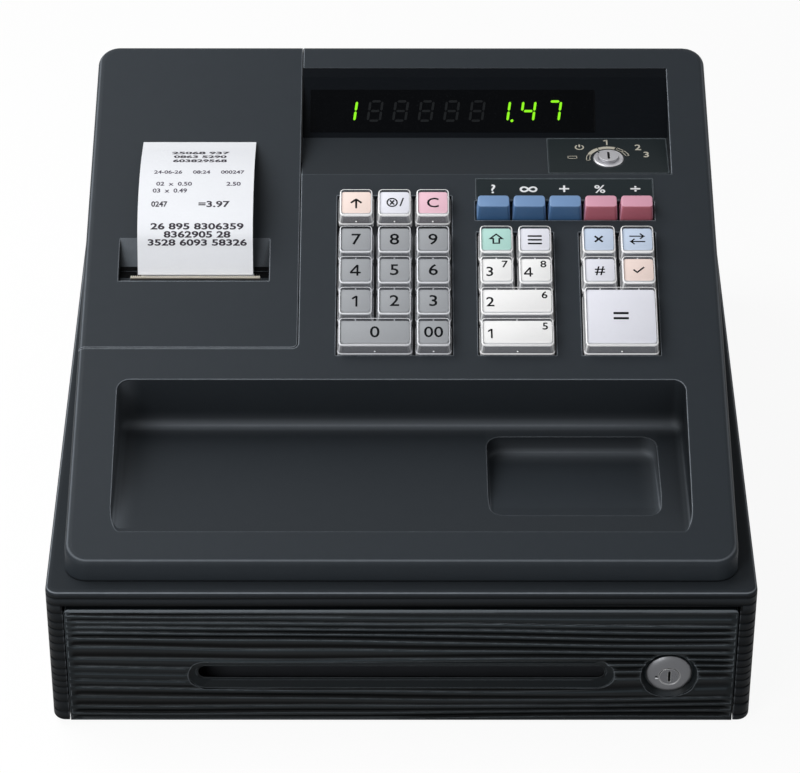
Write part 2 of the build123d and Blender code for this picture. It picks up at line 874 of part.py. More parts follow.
def item_keys():
    """Keys that enter items: two upper rows of single keys over two double-width keys."""
    half = key_pitch_x / 2
    wide = spread(2, key_pitch_x, key_width)
    return {
        "key_shift": (item_block_x - half, key_row(3), key_width, key_run),
        "key_lookup": (item_block_x + half, key_row(3), key_width, key_run),
        "key_item_3": (item_block_x - half, key_row(2), key_width, key_run),
        "key_item_4": (item_block_x + half, key_row(2), key_width, key_run),
        "key_item_2": (item_block_x, key_row(1), wide, key_run),
        "key_item_1": (item_block_x, key_row(0), wide, key_run),
    }


def total_keys():
    """Payment keys: four single keys over the large total key."""
    half = key_pitch_x / 2
    wide = spread(2, key_pitch_x, key_width)
    tall = spread(2, key_pitch_run, key_run)
    return {
        "key_credit": (total_block_x - half, key_row(3), key_width, key_run),
        "key_exchange": (total_block_x + half, key_row(3), key_width, key_run),
        "key_subtotal": (total_block_x - half, key_row(2), key_width, key_run),
        "key_cheque": (total_block_x + half, key_row(2), key_width, key_run),
        "key_total": (total_block_x, key_row(0) + key_pitch_run / 2, wide, tall),
    }


def function_keys():
    """Row of five plain keys below the display."""
    return {
        f"key_function_{i + 1}": (
            function_first_x + i * function_pitch, function_row_run, function_width, function_run
        )
        for i in range(5)
    }


def stem(x, run):
    half = key_stem / 2
    return block(x - half, x + half, run - half, run + half, stem_end, -key_sink + join_over)


def capped_key(x, run, width, length):
    """Moulded key with its stem, under a clear cap."""
    total = key_height + key_sink
    cap = Pos(x, run, -key_sink) * extrude(Rectangle(width, length), total, taper=key_side_taper)
    inset = total * tan(radians(key_side_taper)) + key_side_skin
    w, l = width / 2 - inset, length / 2 - inset
    core = block(x - w, x + w, run - l, run + l, -key_sink, key_height - key_top_skin)
    return Compound(children=[deck * (core + stem(x, run)), deck * (cap - core)])


def plain_key(x, run, width, length):
    """One-piece key with a leaning front."""
    half = length / 2
    lean = function_front_lean
    outline = Plane.YZ * make_face(
        Polyline(
            (run - half, -key_sink),
            (run + half, -key_sink),
            (run + half - function_back_lean, function_height),
            (run - half + lean, function_height),
            close=True,
        )
    )
    body = Pos(x - width / 2, 0, 0) * extrude(outline, width)
    return deck * (body + stem(x, run))


def keyboard_limits():
    blocks = key_blocks()
    x0 = min(b[0] for b in blocks) - frame_side_margin
    x1 = max(b[1] for b in blocks) + frame_side_margin
    r0 = min(b[2] for b in blocks) - frame_front_margin
    r1 = max(b[3] for b in blocks) + frame_back_margin
    return x0, x1, r0, r1


def keyboard_frame():
    """Guide plate for the key stems, with the rubber mat below it."""
    x0, x1, r0, r1 = keyboard_limits()
    plate = block(x0, x1, r0, r1, board_top, frame_top)
    rim = frame_rim
    plate -= block(x0 + rim, x1 - rim, r0 + rim, r1 - rim, board_top - cut_over, frame_under)
    half = key_stem / 2 + stem_gap
    low, high = frame_under - cut_over, frame_top + cut_over
    for x, run, w, l in all_keys().values():
        plate -= block(x - half, x + half, run - half, run + half, low, high)
    inner = frame_rim + fit_gap
    mat = block(
        x0 + inner, x1 - inner, r0 + inner, r1 - inner, board_top, board_top + mat_thickness
    )
    return Compound(children=[deck * plate, deck * mat])


def standoff_places():
    xs = (main_board_left + standoff_inset, main_board_right - standoff_inset)
    ys = (main_board_front + standoff_inset, main_board_back - standoff_inset)
    return [(x, y) for x in xs for y in ys]


def circuit_boards():
    """Main board, key board and the two display boards."""
    low = rim_top + standoff_height
    top = low + board_thickness
    main = block(main_board_left, main_board_right, main_board_front, main_board_back, low, top)
    half = processor_half
    main += block(-half, half, processor_y - half, processor_y + half, top, top + processor_height)
    main += block(
        connector_left, connector_left + connector_width, -connector_half, connector_half,
        top, top + connector_height,
    )
    x0, x1, r0, r1 = keyboard_limits()
    key_board = deck * block(x0, x1, r0, r1, board_top - board_thickness, board_top)
    behind = -panel_thickness - pocket_wall
    middle = (display_left + display_right) / 2
    margin = display_board_margin
    front = face * block(
        display_left - margin, display_right + margin, display_low - margin,
        display_high + display_board_top_margin, behind - board_thickness, behind,
    )
    center = (display_low + display_high) / 2
    front += face * block(
        middle - display_block_width / 2, middle + display_block_width / 2,
        center - display_block_height / 2, center + display_block_height / 2,
        behind - board_thickness / 2, -panel_thickness - fit_gap,
    )
    rear_center = -rear_window_top - rear_window_height / 2
    half = rear_window_half
    back = rear * block(
        -half, half, rear_center - rear_board_half, rear_center + rear_board_half,
        -housing_wall - board_thickness, -housing_wall,
    )
    half -= rear_block_inset
    back += rear * block(
        -half, half, rear_center - rear_block_half, rear_center + rear_block_half,
        -housing_wall - board_thickness / 2, -panel_thickness - fit_gap,
    )
    return Compound(children=[main, key_board, front, back])


def transformer():
    """Laminated core with its winding standing on the roof of the base."""
    half_w, half_d = transformer_width / 2, transformer_depth / 2
    x0, x1 = transformer_x - half_w, transformer_x + half_w
    y0, y1 = transformer_y - half_d, transformer_y + half_d
    top = rim_top + transformer_height
    core = block(x0, x1, y0 + coil_bulge, y1 - coil_bulge, rim_top, top)
    return core + block(x0 + coil_side, x1 - coil_side, y0, y1, rim_top + coil_bottom, top - coil_top)


def gland_place():
    return rear * Pos(-gland_x, -gland_drop(), 0)


def gland_drop():
    """Way down the rear slope from the ridge to the gland."""
    return (ridge_z - rim_top - rear_foot_height - gland_rise) / cos(rear_tilt)


def cord_gland():
    """Bush that the mains cord would pass through."""
    bush = rod(gland_body_radius, -gland_reach, 0)
    bush += rod(gland_flange_radius, 0, gland_flange)
    bush -= rod(gland_bore_radius, -gland_reach - cut_over, gland_flange + cut_over)
    return gland_place() * bush


def printer_frame():
    """Two side plates on a floor, holding the roll on stubs, with the feed motor outside."""
    front = platen_y - platen_radius - fit_gap - head_depth - printer_front_lip
    back = roll_y + roll_radius + printer_back_lip
    shoulder = platen_z + platen_radius + printer_shoulder
    outline = [
        (front, rim_top),
        (back, rim_top),
        (back, roll_z + printer_back_rise),
        (roll_y - printer_shoulder_back, shoulder),
        (front, shoulder),
    ]
    body = block(
        side_left - printer_side, side_right + printer_side, front, back, rim_top, rim_top + printer_floor
    )
    body += side_prism(outline, side_left - printer_side, side_left)
    body += side_prism(outline, side_right, side_right + printer_side)
    stub = roll_core_radius - roll_stub_clearance
    body += rod(stub, side_left - join_over, side_left + roll_stub_length, "X", (roll_y, roll_z))
    body += rod(stub, side_right - roll_stub_length, side_right + join_over, "X", (roll_y, roll_z))
    bore = platen_shaft_radius + shaft_clearance
    body -= rod(bore, side_left - big, side_right + big, "X", (platen_y, platen_z))
    start = side_right + printer_side
    at = (platen_y + motor_back, rim_top + motor_height)
    motor = rod(motor_radius, start, start + motor_length, "X", at)
    return Compound(children=[body, motor])


def thermal_head():
    back = platen_y - platen_radius - fit_gap
    head = block(
        side_left, side_right, back - head_depth, back,
        platen_z - head_height / 2, platen_z + head_height / 2,
    )
    left, right = side_left + head_fin_side, side_right - head_fin_side
    for i in range(head_fins):
        y = back - head_depth + head_fin_first + i * head_fin_pitch
        top = platen_z - head_height / 2 + head_fin_top
        head -= block(left, right, y, y + head_fin_gap, platen_z - head_height, top)
    return head


def platen_roller():
    """Rubber roller on a steel shaft with the drive gear on its end."""
    gap = moving_gap
    at = (platen_y, platen_z)
    roller = rod(platen_radius, side_left + gap, side_right - gap, "X", at)
    shaft_left = side_left - printer_side - shaft_proud
    shaft_right = side_right + printer_side + gap + platen_gear_width
    shaft = rod(platen_shaft_radius, shaft_left, shaft_right, "X", at)
    gear_start = side_right + printer_side + gap
    gear = rod(platen_gear_radius, gear_start, gear_start + platen_gear_width, "X", at)
    return roller + shaft + gear


def paper_roll():
    at = (roll_y, roll_z)
    roll = rod(roll_radius, paper_left, paper_right, "X", at)
    return roll - rod(roll_core_radius, paper_left - cut_over, paper_right + cut_over, "X", at)


def stadium(half_length, height, y0, y1):
    """Long round-ended bar across the front, centred on the media slot."""
    half = height / 2
    bar = block(-half_length + half, half_length - half, y0, y1, slot_z - half, slot_z + half)
    for side in (-1, 1):
        bar += rod(half, y0, y1, "Y", (side * (half_length - half), slot_z))
    return bar


def drawer_front():
    """Hollow front with the media slot, a seat for the lock and a notch for its cam."""
    half = drawer_front_half
    front = -half_depth
    body = block(-half, half, front, drawer_back_of_front, drawer_bottom, drawer_top)
    wall = drawer_front_wall
    body -= block(
        -half + wall, half - wall, front + wall, drawer_back_of_front + cut_over, drawer_bottom + wall,
        drawer_top - wall,
    )
    ahead = front - cut_over
    inside = front + wall + cut_over
    bezel_half, bezel_height = slot_half_length + bezel_margin_x, slot_height + 2 * bezel_margin_z
    body -= stadium(bezel_half, bezel_height, ahead, front + bezel_depth)
    body -= stadium(slot_half_length, slot_height, ahead, inside)
    body -= rod(lock_recess_radius, ahead, front + lock_recess_depth, "Y", (lock_x, lock_z))
    body -= rod(lock_body_radius + fit_gap, ahead, inside, "Y", (lock_x, lock_z))
    body -= block(
        half - wall - cut_over, half + cut_over, cam_front() - cut_over, drawer_back_of_front + cut_over,
        lock_z - cam_notch_low, lock_z + cam_notch_high,
    )
    return body


def cam_front():
    return drawer_back_of_front - cam_thickness - cam_back_gap


def drawer_box():
    """Open box behind the front, with side flanges on the rails and ledges for the coin tray."""
    half = drawer_half
    body = block(-half, half, drawer_back_of_front, drawer_end, drawer_floor_z, drawer_top_z)
    wall = drawer_wall
    body -= block(
        -half + wall, half - wall, drawer_back_of_front + wall, drawer_end - wall, drawer_floor_z + wall,
        drawer_top_z + cut_over,
    )
    y0, y1 = drawer_back_of_front - cut_over, drawer_back_of_front + wall + cut_over
    body -= stadium(slot_half_length + moving_gap, slot_height + 2 * moving_gap, y0, y1)
    flange_low = rail_top + rail_gap
    inner = half - wall
    for side in (-1, 1):
        xs = sorted((side * (half - join_over), side * (half + drawer_flange)))
        flange_front = drawer_back_of_front + flange_front_gap
        body += block(*xs, flange_front, drawer_end, flange_low, flange_low + drawer_flange_thickness)
        xs = sorted((side * (inner - tray_ledge), side * (inner + join_over)))
        y0, y1 = drawer_back_of_front + join_over, drawer_end - join_over
        body += block(*xs, y0, y1, tray_bottom - tray_ledge_thickness, tray_bottom)
    lip_low = hook_top + latch_lip_gap
    tab_top = lip_low + lip_height
    tab_half = latch_width / 2 + lip_side
    lip_back = drawer_end + latch_lip_back + lip_wall
    body += block(-tab_half, tab_half, drawer_end - join_over, lip_back, tab_top - lip_wall, tab_top)
    return body + block(-tab_half, tab_half, lip_back - lip_wall, lip_back, lip_low, tab_top)


def tray_column_width():
    return (2 * (tray_half - tray_wall) - (tray_columns - 1) * tray_divider) / tray_columns


def tray_columns_x():
    """Middle of each column of the coin tray."""
    width = tray_column_width()
    start = -tray_half + tray_wall + width / 2
    return [start + i * (width + tray_divider) for i in range(tray_columns)]


def tray_rows():
    """Front and back of each row of compartments: two of coins, one of notes."""
    first = tray_front + tray_wall
    second = first + coin_cup_length + tray_divider
    third = second + coin_cup_length + tray_divider
    coins = [(front, front + coin_cup_length) for front in (first, second)]
    return coins + [(third, tray_end - tray_wall)]


def clip_pivot():
    return tray_end - tray_wall - clip_pivot_back, tray_bottom + tray_wall + clip_pivot_height


def coin_tray():
    top = tray_bottom + tray_height
    body = block(-tray_half, tray_half, tray_front, tray_end, tray_bottom, top)
    half = tray_column_width() / 2
    for x in tray_columns_x():
        for front, back in tray_rows():
            body -= block(x - half, x + half, front, back, tray_bottom + tray_wall, top + cut_over)
    pivot_y, pivot_z = clip_pivot()
    inner = clip_width / 2 + clip_side_gap
    for x in tray_columns_x():
        for side in (-1, 1):
            xs = sorted((x + side * inner, x + side * (inner + clip_ear)))
            y0, y1 = pivot_y - clip_ear_front, tray_end - tray_wall + join_over
            body += block(*xs, y0, y1, tray_bottom + join_over, pivot_z + clip_hub_radius)
        reach = inner + clip_ear + cut_over
        body -= rod(clip_pin_radius + clip_pin_clearance, x - reach, x + reach, "X", (pivot_y, pivot_z))
    return body


def clip_angle():
    """Fall of the note clip from its pivot to its tip, in degrees."""
    drop = clip_pivot_height - clip_tip_gap - clip_thickness / 2
    return degrees(asin(drop / clip_reach))


def bill_clip(x):
    """Sprung arm that presses notes down, hinged at the back of its compartment."""
    pivot_y, pivot_z = clip_pivot()
    half = clip_width / 2
    arm = block(x - half, x + half, -clip_reach, 0, -clip_thickness / 2, clip_thickness / 2)
    arm = Pos(0, pivot_y, pivot_z) * Rot(clip_angle(), 0, 0) * arm
    hub = rod(clip_hub_radius, x - half, x + half, "X", (pivot_y, pivot_z))
    reach = half + clip_side_gap + clip_ear
    pin = rod(clip_pin_radius, x - reach, x + reach, "X", (pivot_y, pivot_z))
    return arm + hub + pin


def drawer_lock_barrel():
    front = -half_depth
    seat = front + lock_recess_depth
    barrel = rod(lock_collar_radius, seat - lock_collar_height, seat, "Y", (lock_x, lock_z))
    barrel += rod(lock_body_radius, seat - join_over, cam_front() - moving_gap, "Y", (lock_x, lock_z))
    nut_front = front + drawer_front_wall
    nut_radius = lock_body_radius + lock_nut_rim
    barrel += rod(nut_radius, nut_front, nut_front + lock_nut_thickness, "Y", (lock_x, lock_z))
    bore = lock_core_radius + core_clearance
    return barrel - rod(bore, front - cut_over, cam_front() + cut_over, "Y", (lock_x, lock_z))


def drawer_lock_cylinder():
    """Core with its keyway and the cam that turns behind the side post."""
    start = -half_depth + lock_recess_depth - lock_collar_height
    core = rod(lock_core_radius, start, cam_front() + join_over, "Y", (lock_x, lock_z))
    half = keyway_length / 2
    core -= block(
        lock_x - keyway_width / 2, lock_x + keyway_width / 2, start - cut_over, start + keyway_depth,
        lock_z - half, lock_z + half,
    )
    cam = block(
        lock_x - cam_width / 2, lock_x + cam_width / 2, cam_front(), cam_front() + cam_thickness,
        lock_z - cam_width / 2, lock_z + cam_length,
    )
    return core + cam


def drawer_latch():
    """Arm that hooks the lip of the drawer, shown pulled down on its magnet."""
    half = latch_width / 2
    arm = block(-half, half, latch_tip, latch_pivot_y, latch_z - latch_arm_thickness, latch_z)
    arm += block(-half, half, latch_tip, latch_tip + latch_hook_thickness, latch_z - join_over, hook_top)
    arm += rod(latch_hub_radius, -half, half, "X", (latch_pivot_y, latch_z))
    reach = half + moving_gap + latch_bracket_wall
    return arm + rod(latch_pin_radius, -reach, reach, "X", (latch_pivot_y, latch_z))


def drawer_solenoid():
    """Magnet that pulls the latch down: iron yoke, core and winding."""
    half = magnet_width / 2
    middle = latch_pivot_y - latch_reach / 2
    y0, y1 = middle - magnet_length / 2, middle + magnet_length / 2
    return block(-half, half, y0, y1, plate_top, magnet_top)


def all_keys():
    return {**number_keys(), **item_keys(), **total_keys(), **function_keys()}


def all_parts():
    parts = {
        "base_case": base_case(),
        "base_plate": base_plate(),
        "rubber_feet": rubber_feet(),
        "case_screws": case_screws(),
        "upper_housing": upper_housing(),
        "printer_cover": printer_cover(),
        "tear_bar": tear_bar(),
        "receipt_strip": receipt_strip(),
        "display_windows": display_windows(),
        "mode_switch_barrel": mode_switch_barrel(),
        "mode_switch_rotor": mode_switch_rotor(),
        "keyboard_frame": keyboard_frame(),
        "circuit_boards": circuit_boards(),
        "transformer": transformer(),
        "cord_gland": cord_gland(),
        "printer_frame": printer_frame(),
        "thermal_head": thermal_head(),
        "platen_roller": platen_roller(),
        "paper_roll": paper_roll(),
        "drawer_front": drawer_front(),
        "drawer_box": drawer_box(),
        "coin_tray": coin_tray(),
        "drawer_lock_barrel": drawer_lock_barrel(),
        "drawer_lock_cylinder": drawer_lock_cylinder(),
        "drawer_latch": drawer_latch(),
        "drawer_solenoid": drawer_solenoid(),
    }
    for number, x in enumerate(tray_columns_x(), start=1):
        parts[f"bill_clip_{number}"] = bill_clip(x)
    plain = function_keys()
    for name, sizes in all_keys().items():
        parts[name] = plain_key(*sizes) if name in plain else capped_key(*sizes)
    return parts


for name, shape in all_parts().items():
    export_step(shape, f"parts/{name}.step")
    print(name, len(shape.solids()))
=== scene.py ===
import bmesh
import bpy
from math import cos, pi, radians, sin
from mathutils import Matrix, Vector, noise


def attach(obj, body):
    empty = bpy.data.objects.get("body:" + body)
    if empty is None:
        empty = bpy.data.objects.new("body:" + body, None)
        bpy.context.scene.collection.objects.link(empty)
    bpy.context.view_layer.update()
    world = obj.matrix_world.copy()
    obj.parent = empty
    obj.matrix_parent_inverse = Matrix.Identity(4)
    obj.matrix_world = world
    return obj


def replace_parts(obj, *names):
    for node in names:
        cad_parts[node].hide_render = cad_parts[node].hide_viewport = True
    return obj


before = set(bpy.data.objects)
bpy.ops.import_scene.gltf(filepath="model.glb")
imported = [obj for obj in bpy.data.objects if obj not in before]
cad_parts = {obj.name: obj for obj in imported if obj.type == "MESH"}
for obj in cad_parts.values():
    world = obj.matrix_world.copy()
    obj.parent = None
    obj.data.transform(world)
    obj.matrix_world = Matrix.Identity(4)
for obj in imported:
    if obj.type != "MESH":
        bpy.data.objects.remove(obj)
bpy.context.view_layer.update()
mm = 0.001
print("frame loaded:", len(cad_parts), "nodes")

# The sloped deck, the display panel and the drawer front, as places for flat work.
# On each, X runs to the right, Y up the slope or to the back, and Z out of the surface.
placesLook = {
    "deckSlope": 18.9, "deckFront": (0, -170.1, 94.3),
    "panelTilt": 38.4, "panelFoot": (0, 79.02, 168.06), "drawerFront": -180.0,
}


def shift(x, y=0.0, z=0.0):
    return Matrix.Translation(Vector((x, y, z)) * mm)


def at(place, x, y, out=0.0):
    return place @ shift(x, y, out)


def turned(degrees, axis="Z"):
    return Matrix.Rotation(radians(degrees), 4, axis)


deckPlace = shift(*placesLook["deckFront"]) @ turned(placesLook["deckSlope"], "X")
panelPlace = shift(*placesLook["panelFoot"]) @ turned(placesLook["panelTilt"], "X")
floorPlace = shift(*placesLook["panelFoot"])  # the level floor before the display panel
frontPlace = shift(0, placesLook["drawerFront"]) @ turned(90, "X")

# Camera, lamps and ground, in metres and watts
stageLook = {
    "camera": (-0.002089, -1.512132, 1.201458), "pitch": 0.643, "yaw": 0.001, "roll": -0.001,
    "lens": 166.823, "sensor": 36.0, "farthest": 50,
    # place, size and power of each lamp, and what they all point at
    "lamps": {
        "keyLamp": ((-0.5, 0.12, 0.86), 0.8, 6.9),
        "fillLamp": ((-0.62, -1.15, 0.78), 0.8, 10.0),
        "rimLamp": ((1.1, 0.1, 0.7), 0.7, 0.7),
    },
    "target": (0, 0, 0.1),
    "ambient": 0.17, "groundSize": 8.0, "groundDrop": 0.0002, "groundRough": 0.9,
    "groundTones": ((250, 250, 250), (255, 255, 255)), "dustScale": 30.0,
    "shadowKept": 0.07, "groundGlow": 0.6,
}


def addLamp(name, place, size, power):
    lamp = bpy.data.lights.new(name, "AREA")
    lamp.shape, lamp.size, lamp.energy = "DISK", size, power
    holder = bpy.data.objects.new(name, lamp)
    way = (Vector(stageLook["target"]) - Vector(place)).normalized()
    turn = way.to_track_quat("-Z", "Y").to_matrix().to_4x4()
    holder.matrix_world = Matrix.Translation(place) @ turn
    bpy.context.scene.collection.objects.link(holder)


def addCamera():
    look = stageLook
    camera = bpy.data.cameras.new("camera")
    camera.lens = look["lens"]
    camera.sensor_width = look["sensor"]
    camera.sensor_fit = "HORIZONTAL"
    camera.clip_end = look["farthest"]
    holder = bpy.data.objects.new("camera", camera)
    p, y, r = look["pitch"], look["yaw"], look["roll"]
    ahead = Vector((sin(y) * cos(p), cos(y) * cos(p), -sin(p)))
    right = Vector((cos(y), -sin(y), 0))
    down = ahead.cross(right)
    across = cos(r) * right + sin(r) * down
    below = -sin(r) * right + cos(r) * down
    turn = Matrix((across, -below, -ahead)).transposed().to_4x4()
    holder.matrix_world = Matrix.Translation(look["camera"]) @ turn
    bpy.context.scene.collection.objects.link(holder)
    bpy.context.scene.camera = holder


class Wire:
    # one output of a shader node, so that shader maths reads as plain sums
    def __init__(self, bench, socket):
        self.bench = bench
        self.socket = socket


def addOperator(name, operation, swapped=False):
    def work(self, other):
        first, second = (other, self) if swapped else (self, other)
        return self.bench.sum(operation, first, second)
    setattr(Wire, name, work)


for operator in (
    ("__add__", "ADD"), ("__radd__", "ADD"), ("__sub__", "SUBTRACT"),
    ("__rsub__", "SUBTRACT", True), ("__mul__", "MULTIPLY"), ("__rmul__", "MULTIPLY"),
    ("__truediv__", "DIVIDE"), ("__gt__", "GREATER_THAN"), ("__lt__", "LESS_THAN"),
):
    addOperator(*operator)

benchLook = {"nodeStep": 180, "edgeSamples": 6, "edgeGain": 9.0, "openSamples": 5}


class Bench:
    # one material or world being wired
    def __init__(self, owner):
        self.owner = owner
        owner.use_nodes = True
        self.tree = owner.node_tree
        self.tree.nodes.clear()

    def node(self, kind, settings=None, sockets=None, out=0):
        made = self.tree.nodes.new("ShaderNode" + kind)
        made.location = (len(self.tree.nodes) * benchLook["nodeStep"], 0)
        for name, value in (settings or {}).items():
            setattr(made, name, value)
        for name, value in (sockets or {}).items():
            if isinstance(value, Wire):
                self.tree.links.new(value.socket, made.inputs[name])
            else:
                made.inputs[name].default_value = value
        return Wire(self, made.outputs[out]) if made.outputs else None

    def sum(self, operation, first, second=0, clamped=False):
        settings = {"operation": operation, "use_clamp": clamped}
        return self.node("Math", settings, {0: first, 1: second})

    def held(self, value):
        # kept between 0 and 1
        return self.sum("MULTIPLY", value, 1.0, clamped=True)

    def sizeOf(self, value):
        return self.sum("ABSOLUTE", value)

    def place(self):
        return self.node("TexCoord", out="Object")

    def along(self, place, axis):
        return self.node("SeparateXYZ", None, {"Vector": place}, out=axis)

    def spot(self, axes="XYZ"):
        # where the point is, in millimetres along each axis
        place = self.place()
        return [self.along(place, axis) / mm for axis in axes]

    def facing(self, axis):
        # how far the surface faces along an axis, -1 to 1
        return self.along(self.node("NewGeometry", out="Normal"), axis)

    def stretched(self, scale):
        return self.node("Mapping", None, {"Vector": self.place(), "Scale": scale})

    def noise(self, scale, detail=2.0, rough=0.5, place=None):
        return self.node("TexNoise", None, {
            "Vector": place or self.place(), "Scale": scale, "Detail": detail, "Roughness": rough,
        })

    def blend(self, share, first, second):
        # from the first tone to the second, by a share kept between 0 and 1; a tone is
        # given as a tuple, 0 to 255, or is already wired or worked out
        tones = [tone(*value) if type(value) is tuple else value for value in (first, second)]
        sockets = {0: self.held(share), 6: tones[0], 7: tones[1]}
        return self.node("Mix", {"data_type": "RGBA"}, sockets, out=2)

    def coat(self, share, over):
        self.shade = self.blend(share, self.shade, over)

    def bump(self, height, distance, normal=None):
        sockets = {"Height": height, "Distance": distance, "Strength": 1.0}
        if normal is not None:
            sockets["Normal"] = normal
        return self.node("Bump", None, sockets)

    def softened(self, radius):
        # the normal rounded over every edge, and how near an edge the point is
        rounded = self.node("Bevel", {"samples": benchLook["edgeSamples"]}, {"Radius": radius})
        flat = self.node("NewGeometry", out="Normal")
        same = self.node(
            "VectorMath", {"operation": "DOT_PRODUCT"}, {0: rounded, 1: flat}, out="Value",
        )
        return rounded, self.held((1 - same) * benchLook["edgeGain"])

    def openness(self, reach):
        # 1 on open surfaces and outer edges, less in a corner or groove
        settings = {"samples": benchLook["openSamples"], "only_local": True}
        return self.node("AmbientOcclusion", settings, {"Distance": reach}, out="AO")

    def surface(self, rough, normal=None, **others):
        sockets = {"Base Color": self.shade, "Roughness": self.held(rough)}
        if normal is not None:
            sockets["Normal"] = normal
        for name, value in others.items():
            sockets[socketNames[name]] = value
        shader = self.node("BsdfPrincipled", None, sockets)
        self.node("OutputMaterial", None, {"Surface": shader})
        return self.owner


socketNames = {
    "specular": "Specular IOR Level", "metallic": "Metallic", "alpha": "Alpha",
    "glow": "Emission Color", "strength": "Emission Strength",
}


def tone(red, green, blue, share=1.0):
    # a colour as a screen shows it, 0 to 255, made darker or lighter by a share
    def linear(value):
        value = value / 255
        return value / 12.92 if value <= 0.04045 else ((value + 0.055) / 1.055) ** 2.4
    return [linear(value) * share for value in (red, green, blue)] + [1.0]


def grey(value):
    return [value] * 3 + [1]


def newBench(name):
    return Bench(bpy.data.materials.new(name))


def backgroundRays(bench):
    # 1 for rays that should see the white background: the camera's, and those in metal and glass
    names = ("Is Camera Ray", "Is Glossy Ray", "Is Transmission Ray")
    rays = [bench.node("LightPath", out=name) for name in names]
    return bench.held(rays[0] + rays[1] + rays[2])


def addStage():
    look = stageLook
    clearSelection()
    bpy.ops.mesh.primitive_plane_add(size=look["groundSize"], location=(0, 0, -look["groundDrop"]))
    ground = bpy.context.object
    ground.name = "floor"
    bench = newBench("paleFloor")
    seen = backgroundRays(bench)
    base = bench.blend(bench.noise(look["dustScale"]), *look["groundTones"])
    dull = {"Roughness": look["groundRough"], "Specular IOR Level": 0.0}
    white = bench.node("BsdfPrincipled", None, {"Base Color": base, **dull})
    dim = bench.node("BsdfPrincipled", None, {"Base Color": grey(look["groundGlow"]), **dull})
    glow = bench.node("Emission", None, {"Color": grey(1), "Strength": 1.0})
    shown = bench.node("MixShader", None, {0: 1 - look["shadowKept"], 1: white, 2: glow})
    mixed = bench.node("MixShader", None, {0: seen, 1: dim, 2: shown})
    bench.node("OutputMaterial", None, {"Surface": mixed})
    ground.data.materials.append(bench.owner)
    world = bpy.data.worlds.new("studio")
    bpy.context.scene.world = world
    sky = Bench(world)
    strength = backgroundRays(sky) * (1 - look["ambient"]) + look["ambient"]
    back = sky.node("Background", None, {"Color": grey(1), "Strength": strength})
    sky.node("OutputWorld", None, {"Surface": back})
    for name, lamp in look["lamps"].items():
        addLamp(name, *lamp)
    bpy.context.scene.view_settings.view_transform = "Standard"


# Modelling helpers
def clearSelection():
    if bpy.context.object is not None and bpy.context.object.mode != "OBJECT":
        bpy.ops.object.mode_set(mode="OBJECT")
    bpy.ops.object.select_all(action="DESELECT")


def makeActive(piece):
    clearSelection()
    bpy.context.view_layer.objects.active = piece
    piece.select_set(True)


def openMesh(piece, kind="EDGE"):
    makeActive(piece)
    bpy.ops.object.mode_set(mode="EDIT")
    bpy.ops.mesh.select_mode(type=kind)
    bpy.ops.mesh.select_all(action="DESELECT")


def closeMesh():
    bpy.ops.object.mode_set(mode="OBJECT")


def wayOf(item):
    # the way a face looks or an edge runs
    if isinstance(item, bmesh.types.BMFace):
        return item.normal
    return (item.verts[1].co - item.verts[0].co).normalized()


def middleOf(item):
    if isinstance(item, bmesh.types.BMFace):
        return item.calc_center_median()
    return (item.verts[0].co + item.verts[1].co) / 2


def pick(piece, kind, test):
    # selects the faces or edges that pass the test of their middle and way
    bpy.ops.mesh.select_all(action="DESELECT")
    mesh = bmesh.from_edit_mesh(piece.data)
    mesh.normal_update()
    for item in getattr(mesh, kind):
        if test(middleOf(item), wayOf(item)):
            item.select_set(True)
    bmesh.update_edit_mesh(piece.data)


def bevelEdges(radius, segments):
    bpy.ops.mesh.bevel(offset=radius * mm, segments=segments, affect="EDGES")


def applyModifier(piece, kind, **settings):
    makeActive(piece)
    modifier = piece.modifiers.new(kind.lower(), kind)
    for name, value in settings.items():
        setattr(modifier, name, value)
    bpy.ops.object.modifier_apply(modifier=modifier.name)


def roundOff(piece, width, segments=2, angle=30):
    applyModifier(
        piece, "BEVEL", width=width * mm, segments=segments, limit_method="ANGLE",
        angle_limit=radians(angle), use_clamp_overlap=True,
    )


def cutWith(piece, cutter, operation="DIFFERENCE"):
    applyModifier(piece, "BOOLEAN", operation=operation, object=cutter, solver="EXACT")
    bpy.data.objects.remove(cutter)


def joinPieces(pieces):
    makeActive(pieces[0])
    for other in pieces[1:]:
        other.select_set(True)
    bpy.ops.object.join()
    return pieces[0]


def settled(scale=(1, 1, 1)):
    # the piece just added, with its place, turn and size taken into its mesh
    piece = bpy.context.object
    piece.scale = scale
    bpy.ops.object.transform_apply(location=True, rotation=True, scale=True)
    return piece


def newBlock(width, depth, height, middle=(0, 0, 0)):
    clearSelection()
    bpy.ops.mesh.primitive_cube_add(size=1, location=Vector(middle) * mm)
    return settled((width * mm, depth * mm, height * mm))


def newRod(radius, low, high, sides=64):
    clearSelection()
    bpy.ops.mesh.primitive_cylinder_add(
        vertices=sides, radius=radius * mm, depth=(high - low) * mm,
        location=(0, 0, (high + low) / 2 * mm),
    )
    return settled()


def roundCorners(piece, radius, segments=4, axis=2, above=-1.0):
    # rounds the edges that stand along one axis, higher than a level in metres
    openMesh(piece)
    pick(piece, "edges", lambda middle, way: abs(way[axis]) > 0.95 and middle.z > above)
    bevelEdges(radius, segments)
    closeMesh()


def scaleTop(piece, x, y):
    # tapers a block: its top face is drawn in
    openMesh(piece, "FACE")
    pick(piece, "faces", lambda middle, normal: normal.z > 0.9)
    bpy.ops.transform.resize(value=(x, y, 1))
    closeMesh()


